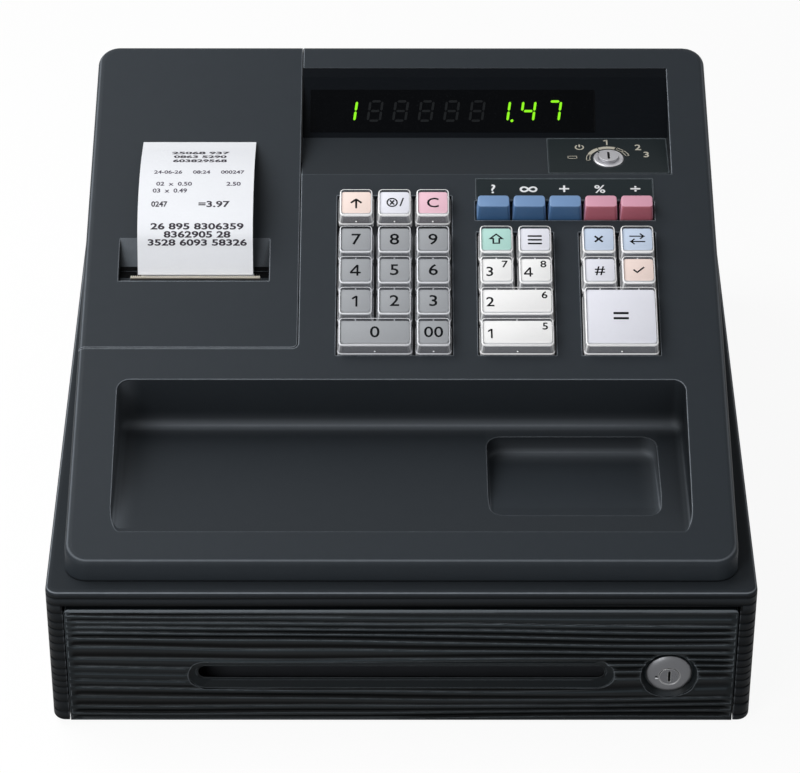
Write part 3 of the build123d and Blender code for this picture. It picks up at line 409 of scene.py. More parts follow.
def growSteps(piece, steps):
    # insets the top face again and again, each time by a width and a rise
    openMesh(piece, "FACE")
    highest = max(v.co.z for v in piece.data.vertices)
    pick(piece, "faces", lambda middle, normal: normal.z > 0.9 and middle.z > highest - 1e-5)
    for width, rise in steps:
        bpy.ops.mesh.inset(thickness=width * mm, depth=rise * mm)
    closeMesh()


def finishPiece(piece, name, body, finish, place=None, smooth=35):
    # names and places one piece, or a list joined, and gives it its finish and body
    if type(piece) is list:
        piece = joinPieces(piece)
    piece.name = name
    if place is not None:
        piece.data.transform(place)
    piece.data.materials.clear()
    piece.data.materials.append(finishes[finish])
    makeActive(piece)
    bpy.ops.object.shade_smooth_by_angle(angle=radians(smooth))
    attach(piece, body)
    return piece


def copyPiece(piece, place):
    twin = piece.copy()
    twin.data = piece.data.copy()
    bpy.context.scene.collection.objects.link(twin)
    twin.data.transform(place)
    return twin


def flatPlate(name, look, finish, place, hole=None):
    # a thin plate with rounded corners and a fine raised border
    sizes = (look["right"] - look["left"], look["back"] - look["front"], look["thick"])
    middle = (
        (look["left"] + look["right"]) / 2, (look["front"] + look["back"]) / 2,
        look["thick"] / 2 + look["gap"],
    )
    plate = newBlock(*sizes, middle)
    roundCorners(plate, *look["corner"])
    growSteps(plate, look["border"])
    if hole:
        cutWith(plate, hole)
    finishPiece(plate, name, "chassis", finish, place, 15)


def newText(words, size, widen=1.0, weight=0.0, place=None):
    # flat lettering, made a mesh, with its middle at the origin
    clearSelection()
    bpy.ops.object.text_add(location=(0, 0, 0))
    text = bpy.context.object
    text.data.body = words
    text.data.size = size * mm
    text.data.align_x = "CENTER"
    text.data.offset = weight * mm
    text.data.align_y = "CENTER"
    text.data.resolution_u = 3
    bpy.ops.object.convert(target="MESH")
    text = bpy.context.object
    text.data.transform(Matrix.Diagonal((widen, 1, 1, 1)))
    if place is not None:
        text.data.transform(place)
    return text


# Case, base and drawer plastic; reaches and depths of the shader are in metres
plasticLook = {
    "case": (42, 47, 52), "caseWearAndHighlight": (150, 157, 165), "base": (42, 46, 50),
    "drawer": (28, 33, 36), "drawerWearAndHighlight": (140, 148, 155),
    "plate": (27, 35, 38), "plateWearAndHighlight": (110, 118, 124),
    "cloud": 7.0, "blotch": 160.0, "grain": 2600.0, "grainDepth": 0.00006,
    "edgeRadius": 0.0009, "edgeGain": 2.4, "creaseReach": 0.06, "creaseShadeGain": 1.25,
    # patches; painted shade in creases; the near-black of painted shade in cuts, gaps and shaded
    # places; and painted highlight on crests; all as shares of the colour
    "patches": (0.9, 1.1), "creaseShade": 0.3, "black": 0.12, "crest": 3.4,
    # painted highlight on rounded edges where they turn from flat to upright
    "roundTilt": 0.73, "roundWidth": 7.0, "roundBare": 0.66, "roundGain": 5.0,
    "cloudPolish": 0.12, "grainPolish": 0.16, "edgePolish": 0.08,
}


def mouldedPlastic(name, colour, wearAndHighlight, detail, roughness=0.5, specular=0.1, shine=0.34):
    look = plasticLook
    bench = newBench(name)
    cloud = bench.noise(look["cloud"], 3.0)
    blotch = bench.noise(look["blotch"], 3.0)
    grain = bench.noise(look["grain"])
    soft, edge = bench.softened(look["edgeRadius"])
    bare = bench.openness(look["creaseReach"])
    patches = [tone(*colour, share) for share in look["patches"]]
    bench.shade = bench.blend(cloud * 0.6 + blotch * 0.4, *patches)
    # painted shade in creases and recesses, by how open the surface is
    bench.coat((1 - bare) * look["creaseShadeGain"], tone(*colour, look["creaseShade"]))
    # painted highlight, with some wear, along outer edges
    bench.coat(edge * (bare - 0.5) * look["edgeGain"] * (blotch * 0.5 + 0.5), wearAndHighlight)
    # painted highlight on rounded edges, where the surface tilts as set above
    off = bench.sizeOf(bench.facing("Z") - look["roundTilt"])
    rounded = bench.held(1 - off * look["roundWidth"])
    rounded = rounded * bench.held((bare - look["roundBare"]) * look["roundGain"])
    bench.coat(rounded * shine * (blotch * 0.5 + 0.75), wearAndHighlight)
    detail(bench, colour, wearAndHighlight, tone(*colour, look["black"]))
    normal = bench.bump(grain, look["grainDepth"], soft)
    if detail is baseShades:
        normal = bench.bump(fluteHeight(bench), fluteLook["depth"] * mm, normal)
    rough = (cloud - 0.5) * look["cloudPolish"] + (grain - 0.5) * look["grainPolish"]
    rough = rough + (roughness - edge * look["edgePolish"])
    return bench.surface(rough, normal, specular=specular)


caseLook = {
    # painted highlight in the hollows where walls run into floors: y, z, left, right, reach and
    # glow
    "hollows": ((-73.0, 99.4, -138.0, 138.0, 8.0, 0.15), (-82.0, 89.4, 41.0, 124.5, 10.5, 0.13)),
    # painted highlight on the side walls of the hollows: x, reach, glow, highest and back
    "sides": ((123.4, 9.0, 0.06, 99.0, -82.0), (-137.6, 10.0, 0.15, 200.0, -70.0)),
    "spread": 1.25, "sidesFront": -157.0, "sunk": -0.8,
    # level floors with painted shade: lowest, highest and how much
    "shadedFloors": ((160.0, 170.0, 0.26), (98.0, 101.0, 0.17)), "level": 0.97, "levelGain": 40.0,
    # painted shade on the right wall of the shelf: first and last x, width of the change and how
    # much darker
    "wall": (133.5, 140.0, 3.0, 0.45),
    # painted shadow along the foot of the housing: its top and how fast it grows
    "footShadowTop": 83.5, "footShadowGain": 1.2,
}


def outOfDeck(bench):
    # how far a point stands out of the deck, in millimetres
    slope = radians(placesLook["deckSlope"])
    front, foot = placesLook["deckFront"][1:]
    run, height = bench.spot("YZ")
    return (height - foot) * cos(slope) - (run - front) * sin(slope)


def caseShades(bench, colour, wearAndHighlight, black):
    # painted highlight in the hollows and on their side walls; painted shade on level floors, on
    # the shelf's right wall and along the foot
    look = caseLook
    across, run, height = bench.spot()
    for y, z, left, right, reach, glow in look["hollows"]:
        back, up = run - y, height - z
        away = bench.sum("SQRT", back * back + up * up)
        near = bench.held(look["spread"] - away / reach)
        bench.coat(near * near * (across > left) * (across < right) * glow, wearAndHighlight)
    inside = (outOfDeck(bench) < look["sunk"]) * (run > look["sidesFront"])
    for x, reach, glow, highest, back in look["sides"]:
        near = bench.held(look["spread"] - bench.sizeOf(across - x) / reach)
        near = near * (height < highest) * (run < back) * inside
        bench.coat(near * near * glow, wearAndHighlight)
    # painted shade on level floors
    level = bench.held((bench.facing("Z") - look["level"]) * look["levelGain"])
    for lowest, highest, darker in look["shadedFloors"]:
        bench.coat(level * (height > lowest) * (height < highest) * darker, black)
    # painted shade on the shelf's right wall
    first, last, change, darker = look["wall"]
    wall = bench.held((across - first) / change) * (across < last) * inside
    bench.coat(wall * darker, black)
    # painted shadow along the foot of the housing
    bench.coat((look["footShadowTop"] - height) * look["footShadowGain"], black)


baseLook = {
    # painted shade in the grooves and in the gap over the drawer; the band grows darker towards
    # the bottom
    "groove": 0.7, "grooveShadeGain": 1.4, "bandTop": 80.4, "bandDepth": 13.0, "bandDark": 0.6,
    "gapLow": 71.4, "gapHigh": 76.0, "gapChange": 1.6, "gapHalf": 160.5,
}


def baseShades(bench, colour, wearAndHighlight, black):
    # painted shade in the grooves and in the gap over the drawer, and a darker band under the rim
    look = baseLook
    across, run, height = bench.spot()
    # painted shade in the grooves
    bench.coat((look["groove"] - fluteHeight(bench)) * look["grooveShadeGain"], black)
    # painted shade in the gap over the drawer
    gap = bench.held((look["gapHigh"] - height) / look["gapChange"]) * (height > look["gapLow"])
    bench.coat(gap * (bench.sizeOf(across) < look["gapHalf"]) * (run < 0), black)
    band = bench.held((look["bandTop"] - height) / look["bandDepth"]) * look["bandDark"]
    bench.coat(upright(bench) * band, black)


drawerShadeLook = {
    # painted shade in cuts and lower down, painted highlight on crests and on the lip, painted
    # shade on the top behind it
    "cut": 0.22, "cutShadeGain": 1.7, "crest": 0.08, "crestHighlightGain": 11.0,
    "lowFrom": 52, "lowDepth": 45, "lowShade": 0.5,
    "lipFoot": 70.4, "lipGain": 2.0, "lipWidth": 0.9, "lipShine": 0.5,
    "backFoot": 70.9, "backShade": 0.7,
}


def drawerShades(bench, colour, wearAndHighlight, black):
    # painted shade in the cuts, lower down and in the slot, painted highlight on the crests and on
    # the thin lip, and painted shade on the top behind it
    look = drawerShadeLook
    run, height = bench.spot("YZ")
    groove = bench.node("Attribute", {"attribute_name": "groove"}, out="Fac")
    bench.coat((groove - look["cut"]) * look["cutShadeGain"], black)
    bench.coat((look["crest"] - groove) * look["crestHighlightGain"], tone(*colour, plasticLook["crest"]))
    low = bench.held((look["lowFrom"] - height) / look["lowDepth"])
    bench.coat(low * look["lowShade"], black)
    bench.coat(inSlot(bench), black)
    behind = run - placesLook["drawerFront"] - look["lipWidth"]
    lip = bench.held((height - look["lipFoot"]) * look["lipGain"]) * (behind < 0)
    bench.coat(lip * look["lipShine"], wearAndHighlight)
    top = bench.held(behind) * (height > look["backFoot"])
    bench.coat(top * look["backShade"], black)


def inSlot(bench):
    # 1 inside the media slot, from its bezel to the end of its tunnel: where painted shade goes
    look = drawerLook
    across, run, height = bench.spot()
    start, gain, end, spare = look["slotShade"]
    behind = run - placesLook["drawerFront"]
    level = bench.sizeOf(height - look["slotZ"]) < look["slotHeight"] / 2 + spare
    wide = bench.sizeOf(across) < look["slotHalf"] + spare
    return bench.held((behind - start) * gain) * (behind < end) * level * wide


# Wavy flutes of the base and the drawer front
fluteLook = {
    "pitch": 4.7, "depth": 1.1, "drift": 5.5, "across": 3.6, "up": 55.0, "border": 1.2,
    "ledge": 0.2, "upright": 0.35,
    # on the drawer front: its places in the noise, finer drift, and how its strength changes
    "seeds": ((3.1, 7.7), 2.2, 1.3), "fineAcross": 13.0, "fineUp": 130.0, "fine": 0.14,
    "strength": 0.85, "change": 0.6, "changeAcross": 5.0, "changeUp": 110.0, "weakest": 0.3,
}


def upright(bench):
    return bench.sizeOf(bench.facing("Z")) < fluteLook["upright"]


def fluteHeight(bench):
    # wavy level ridges on the upright walls, 0 in a groove and 1 on a ridge
    look = fluteLook
    place = bench.stretched((look["across"], look["across"], look["up"]))
    drift = bench.noise(1.0, 1.0, place=place)
    turns = (bench.spot("Z")[0] + drift * (2 * look["drift"])) / look["pitch"]
    part = 1 - bench.sum("FRACT", turns)
    wave = bench.sum("MINIMUM", part / look["ledge"], (1 - part) / (1 - look["ledge"]))
    return 1 - (1 - wave) * upright(bench)


# Plain and metal surfaces: scales of two noises, their shares in the tone, its darkest and
# lightest patches, and how much clouds, grain and edges change the polish
plainLook = {
    "cloud": 40.0, "grain": 900.0, "detail": 2.0, "stretch": None, "shares": (0.7, 0.3),
    "patches": (0.88, 1.06), "polish": (0.12, 0.12, 0.1), "depth": 0.00005,
    # the edge tone and its shares: painted highlight, with some wear, along edges
    "specular": 0.4, "metallic": 0.0, "edgeRadius": 0.0004, "wearAndHighlightShares": (0.5, 0.6), "wearAndHighlight": None,
    # painted shade where it faces forward, and painted shade behind the media slot
    "face": None, "faceShadeTurn": -4.0, "faceShadeStart": 2.2, "tunnel": None,
}
metalLook = {
    "cloud": 60.0, "detail": 3.0, "shares": (1, 0), "patches": (0.8, 1.0),
    "polish": (0.1, 0.25, 0), "depth": 0.00003, "specular": 0.5, "metallic": 1.0,
    # painted highlight along the metal's edges
    "edgeRadius": 0.0003, "wearAndHighlightShares": (0, 0.5), "wearAndHighlight": (243.45, 243.45, 243.45),
}


def plainFinish(name, colour, roughness, changes):
    look = {**plainLook, **changes}
    bench = newBench(name)
    cloud = bench.noise(look["cloud"], 3.0)
    place = bench.stretched(look["stretch"]) if look["stretch"] else None
    fine = bench.noise(look["grain"], look["detail"], place=place)
    soft, edge = bench.softened(look["edgeRadius"])
    patches = [tone(*colour, share) for share in look["patches"]]
    shares, wearAndHighlightShares, polish = look["shares"], look["wearAndHighlightShares"], look["polish"]
    bench.shade = bench.blend(cloud * shares[0] + fine * shares[1], *patches)
    if look["tunnel"]:
        # painted shade inside the media slot
        bench.coat(inSlot(bench), look["tunnel"])
    if look["face"]:
        # painted shade on faces that look forward
        bench.coat(bench.facing("Y") * look["faceShadeTurn"] - look["faceShadeStart"], look["face"])
    # painted highlight, with some wear, along edges
    if look["wearAndHighlight"]:
        bench.coat(edge * (cloud * wearAndHighlightShares[0] + wearAndHighlightShares[1]), look["wearAndHighlight"])
    rough = (cloud - 0.5) * polish[0] + (fine - 0.5) * polish[1] + (roughness - edge * polish[2])
    return bench.surface(
        rough, bench.bump(fine, look["depth"], soft),
        specular=look["specular"], metallic=look["metallic"],
    )


toothLook = {
    "crest": (250, 245, 232), "foot": (112, 100, 84), "cloud": 200.0, "change": -3.2, "gain": 3.0,
    "rough": 0.35, "polish": 0.15, "depth": 0.00002,
}


def toothFinish(name):
    # a pale strip, browner below its teeth
    look = toothLook
    bench = newBench(name)
    cloud = bench.noise(look["cloud"])
    low = bench.held((look["change"] - outOfDeck(bench)) * look["gain"])
    bench.shade = bench.blend(low * 0.85 + cloud * 0.15, look["crest"], look["foot"])
    return bench.surface(cloud * look["polish"] + look["rough"], bench.bump(cloud, look["depth"]))


boardLook = {
    "tracks": 160.0, "trackWidth": 0.06, "trackTone": (70, 150, 90), "trackShare": 0.6,
    "cloud": 80.0, "patches": ((22, 84, 50), (36, 104, 66)), "rough": 0.34, "polish": 0.2,
    "depth": 0.00005,
}


def laminateFinish(name):
    # a green board with its copper tracks
    look = boardLook
    bench = newBench(name)
    bricks = bench.node("TexBrick", {"offset": 0.5}, {
        "Vector": bench.place(), "Scale": look["tracks"], "Mortar Size": look["trackWidth"],
        "Color1": grey(0), "Color2": grey(0), "Mortar": grey(1),
    })
    tracks = bench.along(bricks, "X")
    cloud = bench.noise(look["cloud"], 3.0)
    bench.shade = bench.blend(cloud, *look["patches"])
    bench.coat(tracks * look["trackShare"], look["trackTone"])
    return bench.surface(cloud * look["polish"] + look["rough"], bench.bump(tracks, look["depth"]))


paperLook = {
    "pulp": 700.0, "cloud": 35.0, "patches": ((220, 222, 227), (230, 232, 236)),
    "rough": 0.72, "polish": 0.2, "depth": 0.00005, "specular": 0.15,
    # painted light: the sheet glows where it faces forward
    "through": (240, 243, 250), "strength": 0.09, "turn": -2.2, "start": 0.7,
}


def paperFinish(name):
    look = paperLook
    bench = newBench(name)
    pulp = bench.noise(look["pulp"], 4.0, 0.6)
    cloud = bench.noise(look["cloud"], 3.0)
    bench.shade = bench.blend(cloud * 0.6 + pulp * 0.4, *look["patches"])
    # painted glow where the sheet faces forward
    forward = bench.facing("Y") * look["turn"] - look["start"]
    return bench.surface(
        (pulp - 0.5) * look["polish"] + look["rough"], bench.bump(pulp, look["depth"]),
        specular=look["specular"], strength=look["strength"],
        glow=bench.blend(forward, grey(0), look["through"]),
    )


glassLook = {
    "wipe": (1.0, 5.0, 5.0), "smear": 26.0, "dust": 1500.0, "dustFrom": 0.62, "dustGain": 3.0,
    "dustShare": 0.15, "dustTone": (70, 74, 80), "edgeRadius": 0.0003, "polish": 0.14,
    "depth": 0.00002, "specular": 0.03,
}


def glassFinish(name, colour, roughness):
    # smoked panel with faint wipe marks
    look = glassLook
    bench = newBench(name)
    smear = bench.noise(look["smear"], 4.0, 0.6, bench.stretched(look["wipe"]))
    dust = bench.held((bench.noise(look["dust"], 1.0) - look["dustFrom"]) * look["dustGain"])
    soft = bench.softened(look["edgeRadius"])[0]
    bench.shade = bench.blend(dust * look["dustShare"], colour, look["dustTone"])
    normal = bench.bump(smear, look["depth"], soft)
    return bench.surface(smear * look["polish"] + roughness, normal, specular=look["specular"])


litLook = {
    "cloud": 400.0, "dark": 0.8, "share": 0.25, "body": [0.005, 0.006, 0.007, 1], "rough": 0.3,
    "polish": 0.2, "specular": 0.08,
}


def litFinish(name, colour, strength):
    look = litLook
    bench = newBench(name)
    bench.shade = look["body"]
    cloud = bench.noise(look["cloud"])
    return bench.surface(
        cloud * look["polish"] + look["rough"], specular=look["specular"], strength=strength,
        glow=bench.blend(cloud * look["share"], colour, tone(*colour, look["dark"])),
    )


# Bodies of the keys under their clear caps; heights and lengths in millimetres
keyLook = {
    "height": 7.0, "sink": 2.5, "topLong": 0.945, "taper": 0.1016, "cornerRadius": 1.9,
    "topRound": 0.55, "footBand": (-0.4, 0.8),
    "bodyTop": 6.1, "bodyEdge": 2.5, "bodyTaper": 0.4, "bodyCorner": 1.4, "bodyRound": 0.25,
    "labelDepth": 1.7, "labelTop": 0.22, "bandRun": 1.1,
    "legendSize": 9.3, "legendWiden": 1.1, "legendWeight": 0.09, "legendLift": 0.04,
    # mark on the front of a cap: radius, half length, steps, inset and height
    "dot": (0.42, 0.15, ((0.15, 0.08),), 0.3, 2.0),
    # body plastic; the pale band below the label is a painted highlight
    "band": (236, 238, 240), "greyBandHighlight": (186, 188, 192), "foot": (112, 114, 119),
    "cloud": 90.0, "cloudShare": 0.12, "cloudDark": 0.7, "grain": 2200.0, "depth": 0.00002,
    "rough": 0.42, "polish": 0.2, "specular": 0.15,
}


def keyFinish(name, label, band):
    # its label on top, a pale band as a painted highlight, and a dark foot
    look = keyLook
    bench = newBench(name)
    out = outOfDeck(bench)
    cloud = bench.noise(look["cloud"], 3.0)
    fine = bench.noise(look["grain"])
    high = out > look["bodyTop"] - look["labelDepth"]
    bench.shade = bench.blend(high, look["foot"], look[band])
    bench.coat(out > look["bodyTop"] - look["labelTop"], label)
    bench.coat(cloud * look["cloudShare"], tone(*label, look["cloudDark"]))
    rough = (fine - 0.5) * look["polish"] + look["rough"]
    return bench.surface(rough, bench.bump(fine, look["depth"]), specular=look["specular"])


capLook = {
    "grain": 500.0, "veil": 0.04, "rough": 0.12, "polish": 0.1, "specular": 0.5, "strength": 0.22,
    # painted glow: marks from which the faces glow, how fast, and how much
    "glows": ((0.8, 8.0, 0.4), (0.95, 20.0, 0.6)), "rimGain": 1.1,
}


def capFinish(name, clear, rim):
    # clear cap: the faces marked as rims get a painted highlight and a painted glow, the walls and
    # top stay clear
    look = capLook
    bench = newBench(name)
    mark = bench.node("Attribute", {"attribute_name": "rim"}, out="Fac")
    fine = bench.noise(look["grain"], 3.0)
    bench.shade = bench.blend(mark * look["rimGain"], clear, rim)
    first, second = [bench.held((mark - low) * gain) * share for low, gain, share in look["glows"]]
    return bench.surface(
        fine * look["polish"] + look["rough"], specular=look["specular"],
        alpha=bench.held(mark + (fine - 0.5) * look["veil"]), strength=look["strength"],
        glow=bench.blend(first + second, grey(0), rim),
    )


def makeFinishes():
    look = plasticLook
    case, base, drawer, plate = [look[part] for part in ("case", "base", "drawer", "plate")]
    finishes.update({
        "case": mouldedPlastic("casePlastic", case, look["caseWearAndHighlight"], caseShades),
        "plate": mouldedPlastic("platePlastic", plate, look["plateWearAndHighlight"], caseShades),
        "base": mouldedPlastic(
            "basePlastic", base, look["caseWearAndHighlight"], baseShades, 0.42, 0.025, 0.62,
        ),
        "drawer": mouldedPlastic(
            "drawerPlastic", drawer, look["drawerWearAndHighlight"], drawerShades, 0.34, 0.06,
        ),
        "cutter": toothFinish("cutterTeeth"),
        "board": laminateFinish("boardLaminate"),
        "paper": paperFinish("receiptPaper"),
        "panel": glassFinish("smokedPanel", (12, 15, 19), 0.2),
        "window": glassFinish("smokedWindow", (3, 4, 6), 0.12),
        "lit": litFinish("litSegment", (150, 255, 20), 1.0),
        # unlit segments glow faintly: painted light
        "unlit": litFinish("unlitSegment", (20, 23, 25), 0.03),
        # clear caps: the rim tone is a painted highlight and glow
        "clearCap": capFinish("clearCap", (214, 217, 222), (252, 252, 253)),
        "greyCap": capFinish("greyCap", (176, 178, 183), (222, 224, 229)),
        "grey": keyFinish("greyKeyBody", (156, 159, 163), "greyBandHighlight"),
    })
    for name, finish in plainFinishes.items():
        finishes[name] = plainFinish(*finish)
    for name, (title, label) in keyFinishes.items():
        finishes[name] = keyFinish(title, label, "band")


satinLook = {"grain": 1800.0, "depth": 0.00003, "specular": 0.6}
# Name, colour and roughness of each plain or metal finish, and its other values
plainFinishes = {
    "steel": (
        "sheetSteel", (176, 178, 180), 0.4, {**metalLook, "stretch": (1.0, 1.0, 14.0)},
    ),
    "screw": ("screwSteel", (150, 150, 152), 0.35, metalLook),
    "lock": ("lockMetal", (105, 106, 109), 0.4, metalLook),
    "switch": ("switchMetal", (182, 182, 186), 0.45, metalLook),
    "switchCore": ("switchCoreMetal", (178, 178, 182), 0.4, metalLook),
    "lockCore": ("lockCoreMetal", (100, 101, 104), 0.3, metalLook),
    "head": ("headMetal", (140, 144, 150), 0.36, metalLook),
    "iron": ("ironCore", (104, 100, 98), 0.5, metalLook),
    # tray plastic, with painted shade inside the media slot
    "tray": ("trayPlastic", (58, 60, 64), 0.55, {"specular": 0.08, "tunnel": (6, 6, 7)}),
    "foot": ("footRubber", (34, 34, 36), 0.85, {"grain": 500.0, "depth": 0.0002, "specular": 0.2}),
    "platen": (
        "platenRubber", (40, 40, 42), 0.8, {"grain": 700.0, "depth": 0.0001, "specular": 0.2},
    ),
    "gland": (
        "glandRubber", (30, 30, 32), 0.7, {"grain": 600.0, "depth": 0.0001, "specular": 0.25},
    ),
    "paintedShade": ("paintedShadePlastic", (10, 11, 12), 0.6, {"specular": 0.02}),
    "frame": ("keyboardPlastic", (52, 54, 58), 0.6, {}),
    "printer": ("printerPlastic", (62, 64, 66), 0.55, {}),
    "clip": ("clipPlastic", (70, 72, 76), 0.5, {}),
    "faintPrint": ("faintPrint", (70, 64, 78), 0.7, {}),
    "strongPrint": ("strongPrint", (40, 34, 44), 0.7, {}),
    "cream": ("creamPrint", (186, 182, 168), 0.55, {}),
    "whitePrint": ("whitePrint", (226, 228, 230), 0.5, {}),
    "ink": ("darkPrint", (13, 14, 17), 0.5, {"specular": 0.05}),
    # blue and rose keys: painted highlight along edges and painted shade on their fronts
    "blue": (
        "bluePlastic", (108, 142, 185), 0.34,
        {"wearAndHighlight": (160, 188, 220), "face": (62, 98, 139), **satinLook},
    ),
    "rose": (
        "rosePlastic", (216, 156, 177), 0.34,
        {"wearAndHighlight": (240, 192, 206), "face": (178, 98, 113), **satinLook},
    ),
}
keyFinishes = {
    "white": ("whiteKeyBody", (244, 244, 244)), "pale": ("paleGreyKeyBody", (230, 231, 240)),
    "mint": ("mintKeyBody", (180, 220, 212)), "pink": ("pinkKeyBody", (234, 192, 206)),
    "peach": ("peachKeyBody", (242, 222, 214)), "sky": ("paleBlueKeyBody", (200, 214, 234)),
}
finishes = {}

# Which finish each carried-over part gets
nodeFinishes = {
    "base_case": "base", "base_plate": "steel", "rubber_feet": "foot", "case_screws": "screw",
    "upper_housing": "case", "printer_cover": "case", "tear_bar": "cutter",
    "display_windows": "panel", "mode_switch_rotor": "switchCore", "keyboard_frame": "frame",
    "circuit_boards": "board", "transformer": "iron", "cord_gland": "gland",
    "printer_frame": "printer", "thermal_head": "head", "platen_roller": "platen",
    "paper_roll": "paper", "drawer_box": "tray", "coin_tray": "tray",
    "drawer_lock_cylinder": "lockCore", "drawer_latch": "steel", "drawer_solenoid": "iron",
    "bill_clip_1": "clip", "bill_clip_2": "clip", "bill_clip_3": "clip", "bill_clip_4": "clip",
}


def dressNodes():
    for name, finish in nodeFinishes.items():
        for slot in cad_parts[name].material_slots:
            slot.material = finishes[finish]


# Drawer front with its wavy flutes, media slot and lock seat
drawerLook = {
    "half": 159.0, "low": 2.3, "top": 71.4, "depth": 17.0, "wall": 4.0, "rim": 1.0, "rimDrop": 0.6,
    "topCorner": 2.2, "columns": 110, "rows": 300, "overlap": 0.02, "ahead": -8,
    "slotHalf": 97.0, "slotHeight": 7.0, "slotZ": 30.8,
    # where the slot's shade starts, how fast it grows, where it ends, and its spare height
    "slotShade": (2.8, 2.0, 60.0, 0.3),
    "bezelX": 4.6, "bezelZ": 5.0, "bezelDepth": 3.2, "bezelSlope": 3.4, "shelf": 1.2,
    "lockX": 127.8, "lockZ": 30.6, "lockSeat": 13.6, "lockSeatDepth": 3.4, "lockSlope": 2.2,
    "lockHole": 9.3,
    # width, depth, height and place of the notch for the lock's cam
    "notch": (12, 12, 33, (159.0, -162.0, 40.1)), "smooth": 0.2, "smoothSpare": 0.05,
}


def ridgeAt(x, z):
    # terraces with a short upper side and a long lower one, that wander and merge
    look = fluteLook
    (aside, coarse), fine, change = look["seeds"]
    drift = noise.noise(Vector((x * look["across"] + aside, coarse, z * look["up"])))
    drift += noise.noise(Vector((x * look["fineAcross"], fine, z * look["fineUp"]))) * look["fine"]
    swing = noise.noise(Vector((x * look["changeAcross"], change, z * look["changeUp"])))
    strength = look["strength"] + look["change"] * swing
    part = 1 - ((z / mm + drift * look["drift"]) / look["pitch"]) % 1.0
    wave = min(part / look["ledge"], (1 - part) / (1 - look["ledge"]))
    wave = wave * wave * (3 - 2 * wave)
    return 1 - (1 - wave) * min(1.0, max(look["weakest"], strength))


def slotCutter(half, height, low, high, narrow=0.0):
    # a round-ended cutter across the front, narrower at its back if asked
    front, level = placesLook["drawerFront"], drawerLook["slotZ"]
    middle = (0, front + (low + high) / 2, level)
    cutter = newBlock(2 * half, high - low, height, middle)
    roundCorners(cutter, height * 0.4995, 14, axis=1)
    if narrow:
        openMesh(cutter, "FACE")
        pick(cutter, "faces", lambda middle, normal: normal.y > 0.9)
        bpy.ops.transform.resize(
            value=(1 - narrow / half, 1, 1 - 2 * narrow / height),
            center_override=Vector((0, front + high, level)) * mm,
        )
        closeMesh()
    return cutter


def lockCutter(radius, low, high, narrow=0.0):
    cutter = newRod(radius, -high, -low)
    if narrow:
        openMesh(cutter, "FACE")
        pick(cutter, "faces", lambda middle, normal: normal.z < -0.9)
        share = 1 - narrow / radius
        bpy.ops.transform.resize(value=(share, share, 1), center_override=(0, 0, -high * mm))
        closeMesh()
    cutter.data.transform(at(frontPlace, drawerLook["lockX"], drawerLook["lockZ"]))
    return cutter


def cutSeats(piece):
    # the bezel and slot, the seat and hole of the lock, and the notch for its cam
    look = drawerLook
    shelf, ahead, slope = look["shelf"], look["ahead"], look["shelf"] - look["overlap"]
    half, height = look["slotHalf"] + look["bezelX"], look["slotHeight"] + 2 * look["bezelZ"]
    for make, sizes in (
        (slotCutter, (half, height, ahead, shelf)),
        (slotCutter, (half, height, slope, look["bezelDepth"], look["bezelSlope"])),
        (slotCutter, (look["slotHalf"], look["slotHeight"], ahead, -ahead)),
        (lockCutter, (look["lockSeat"], ahead, shelf)),
        (lockCutter, (look["lockSeat"], slope, look["lockSeatDepth"], look["lockSlope"])),
        (lockCutter, (look["lockHole"], ahead, -ahead)),
    ):
        cutWith(piece, make(*sizes))
    cutWith(piece, newBlock(*look["notch"]))


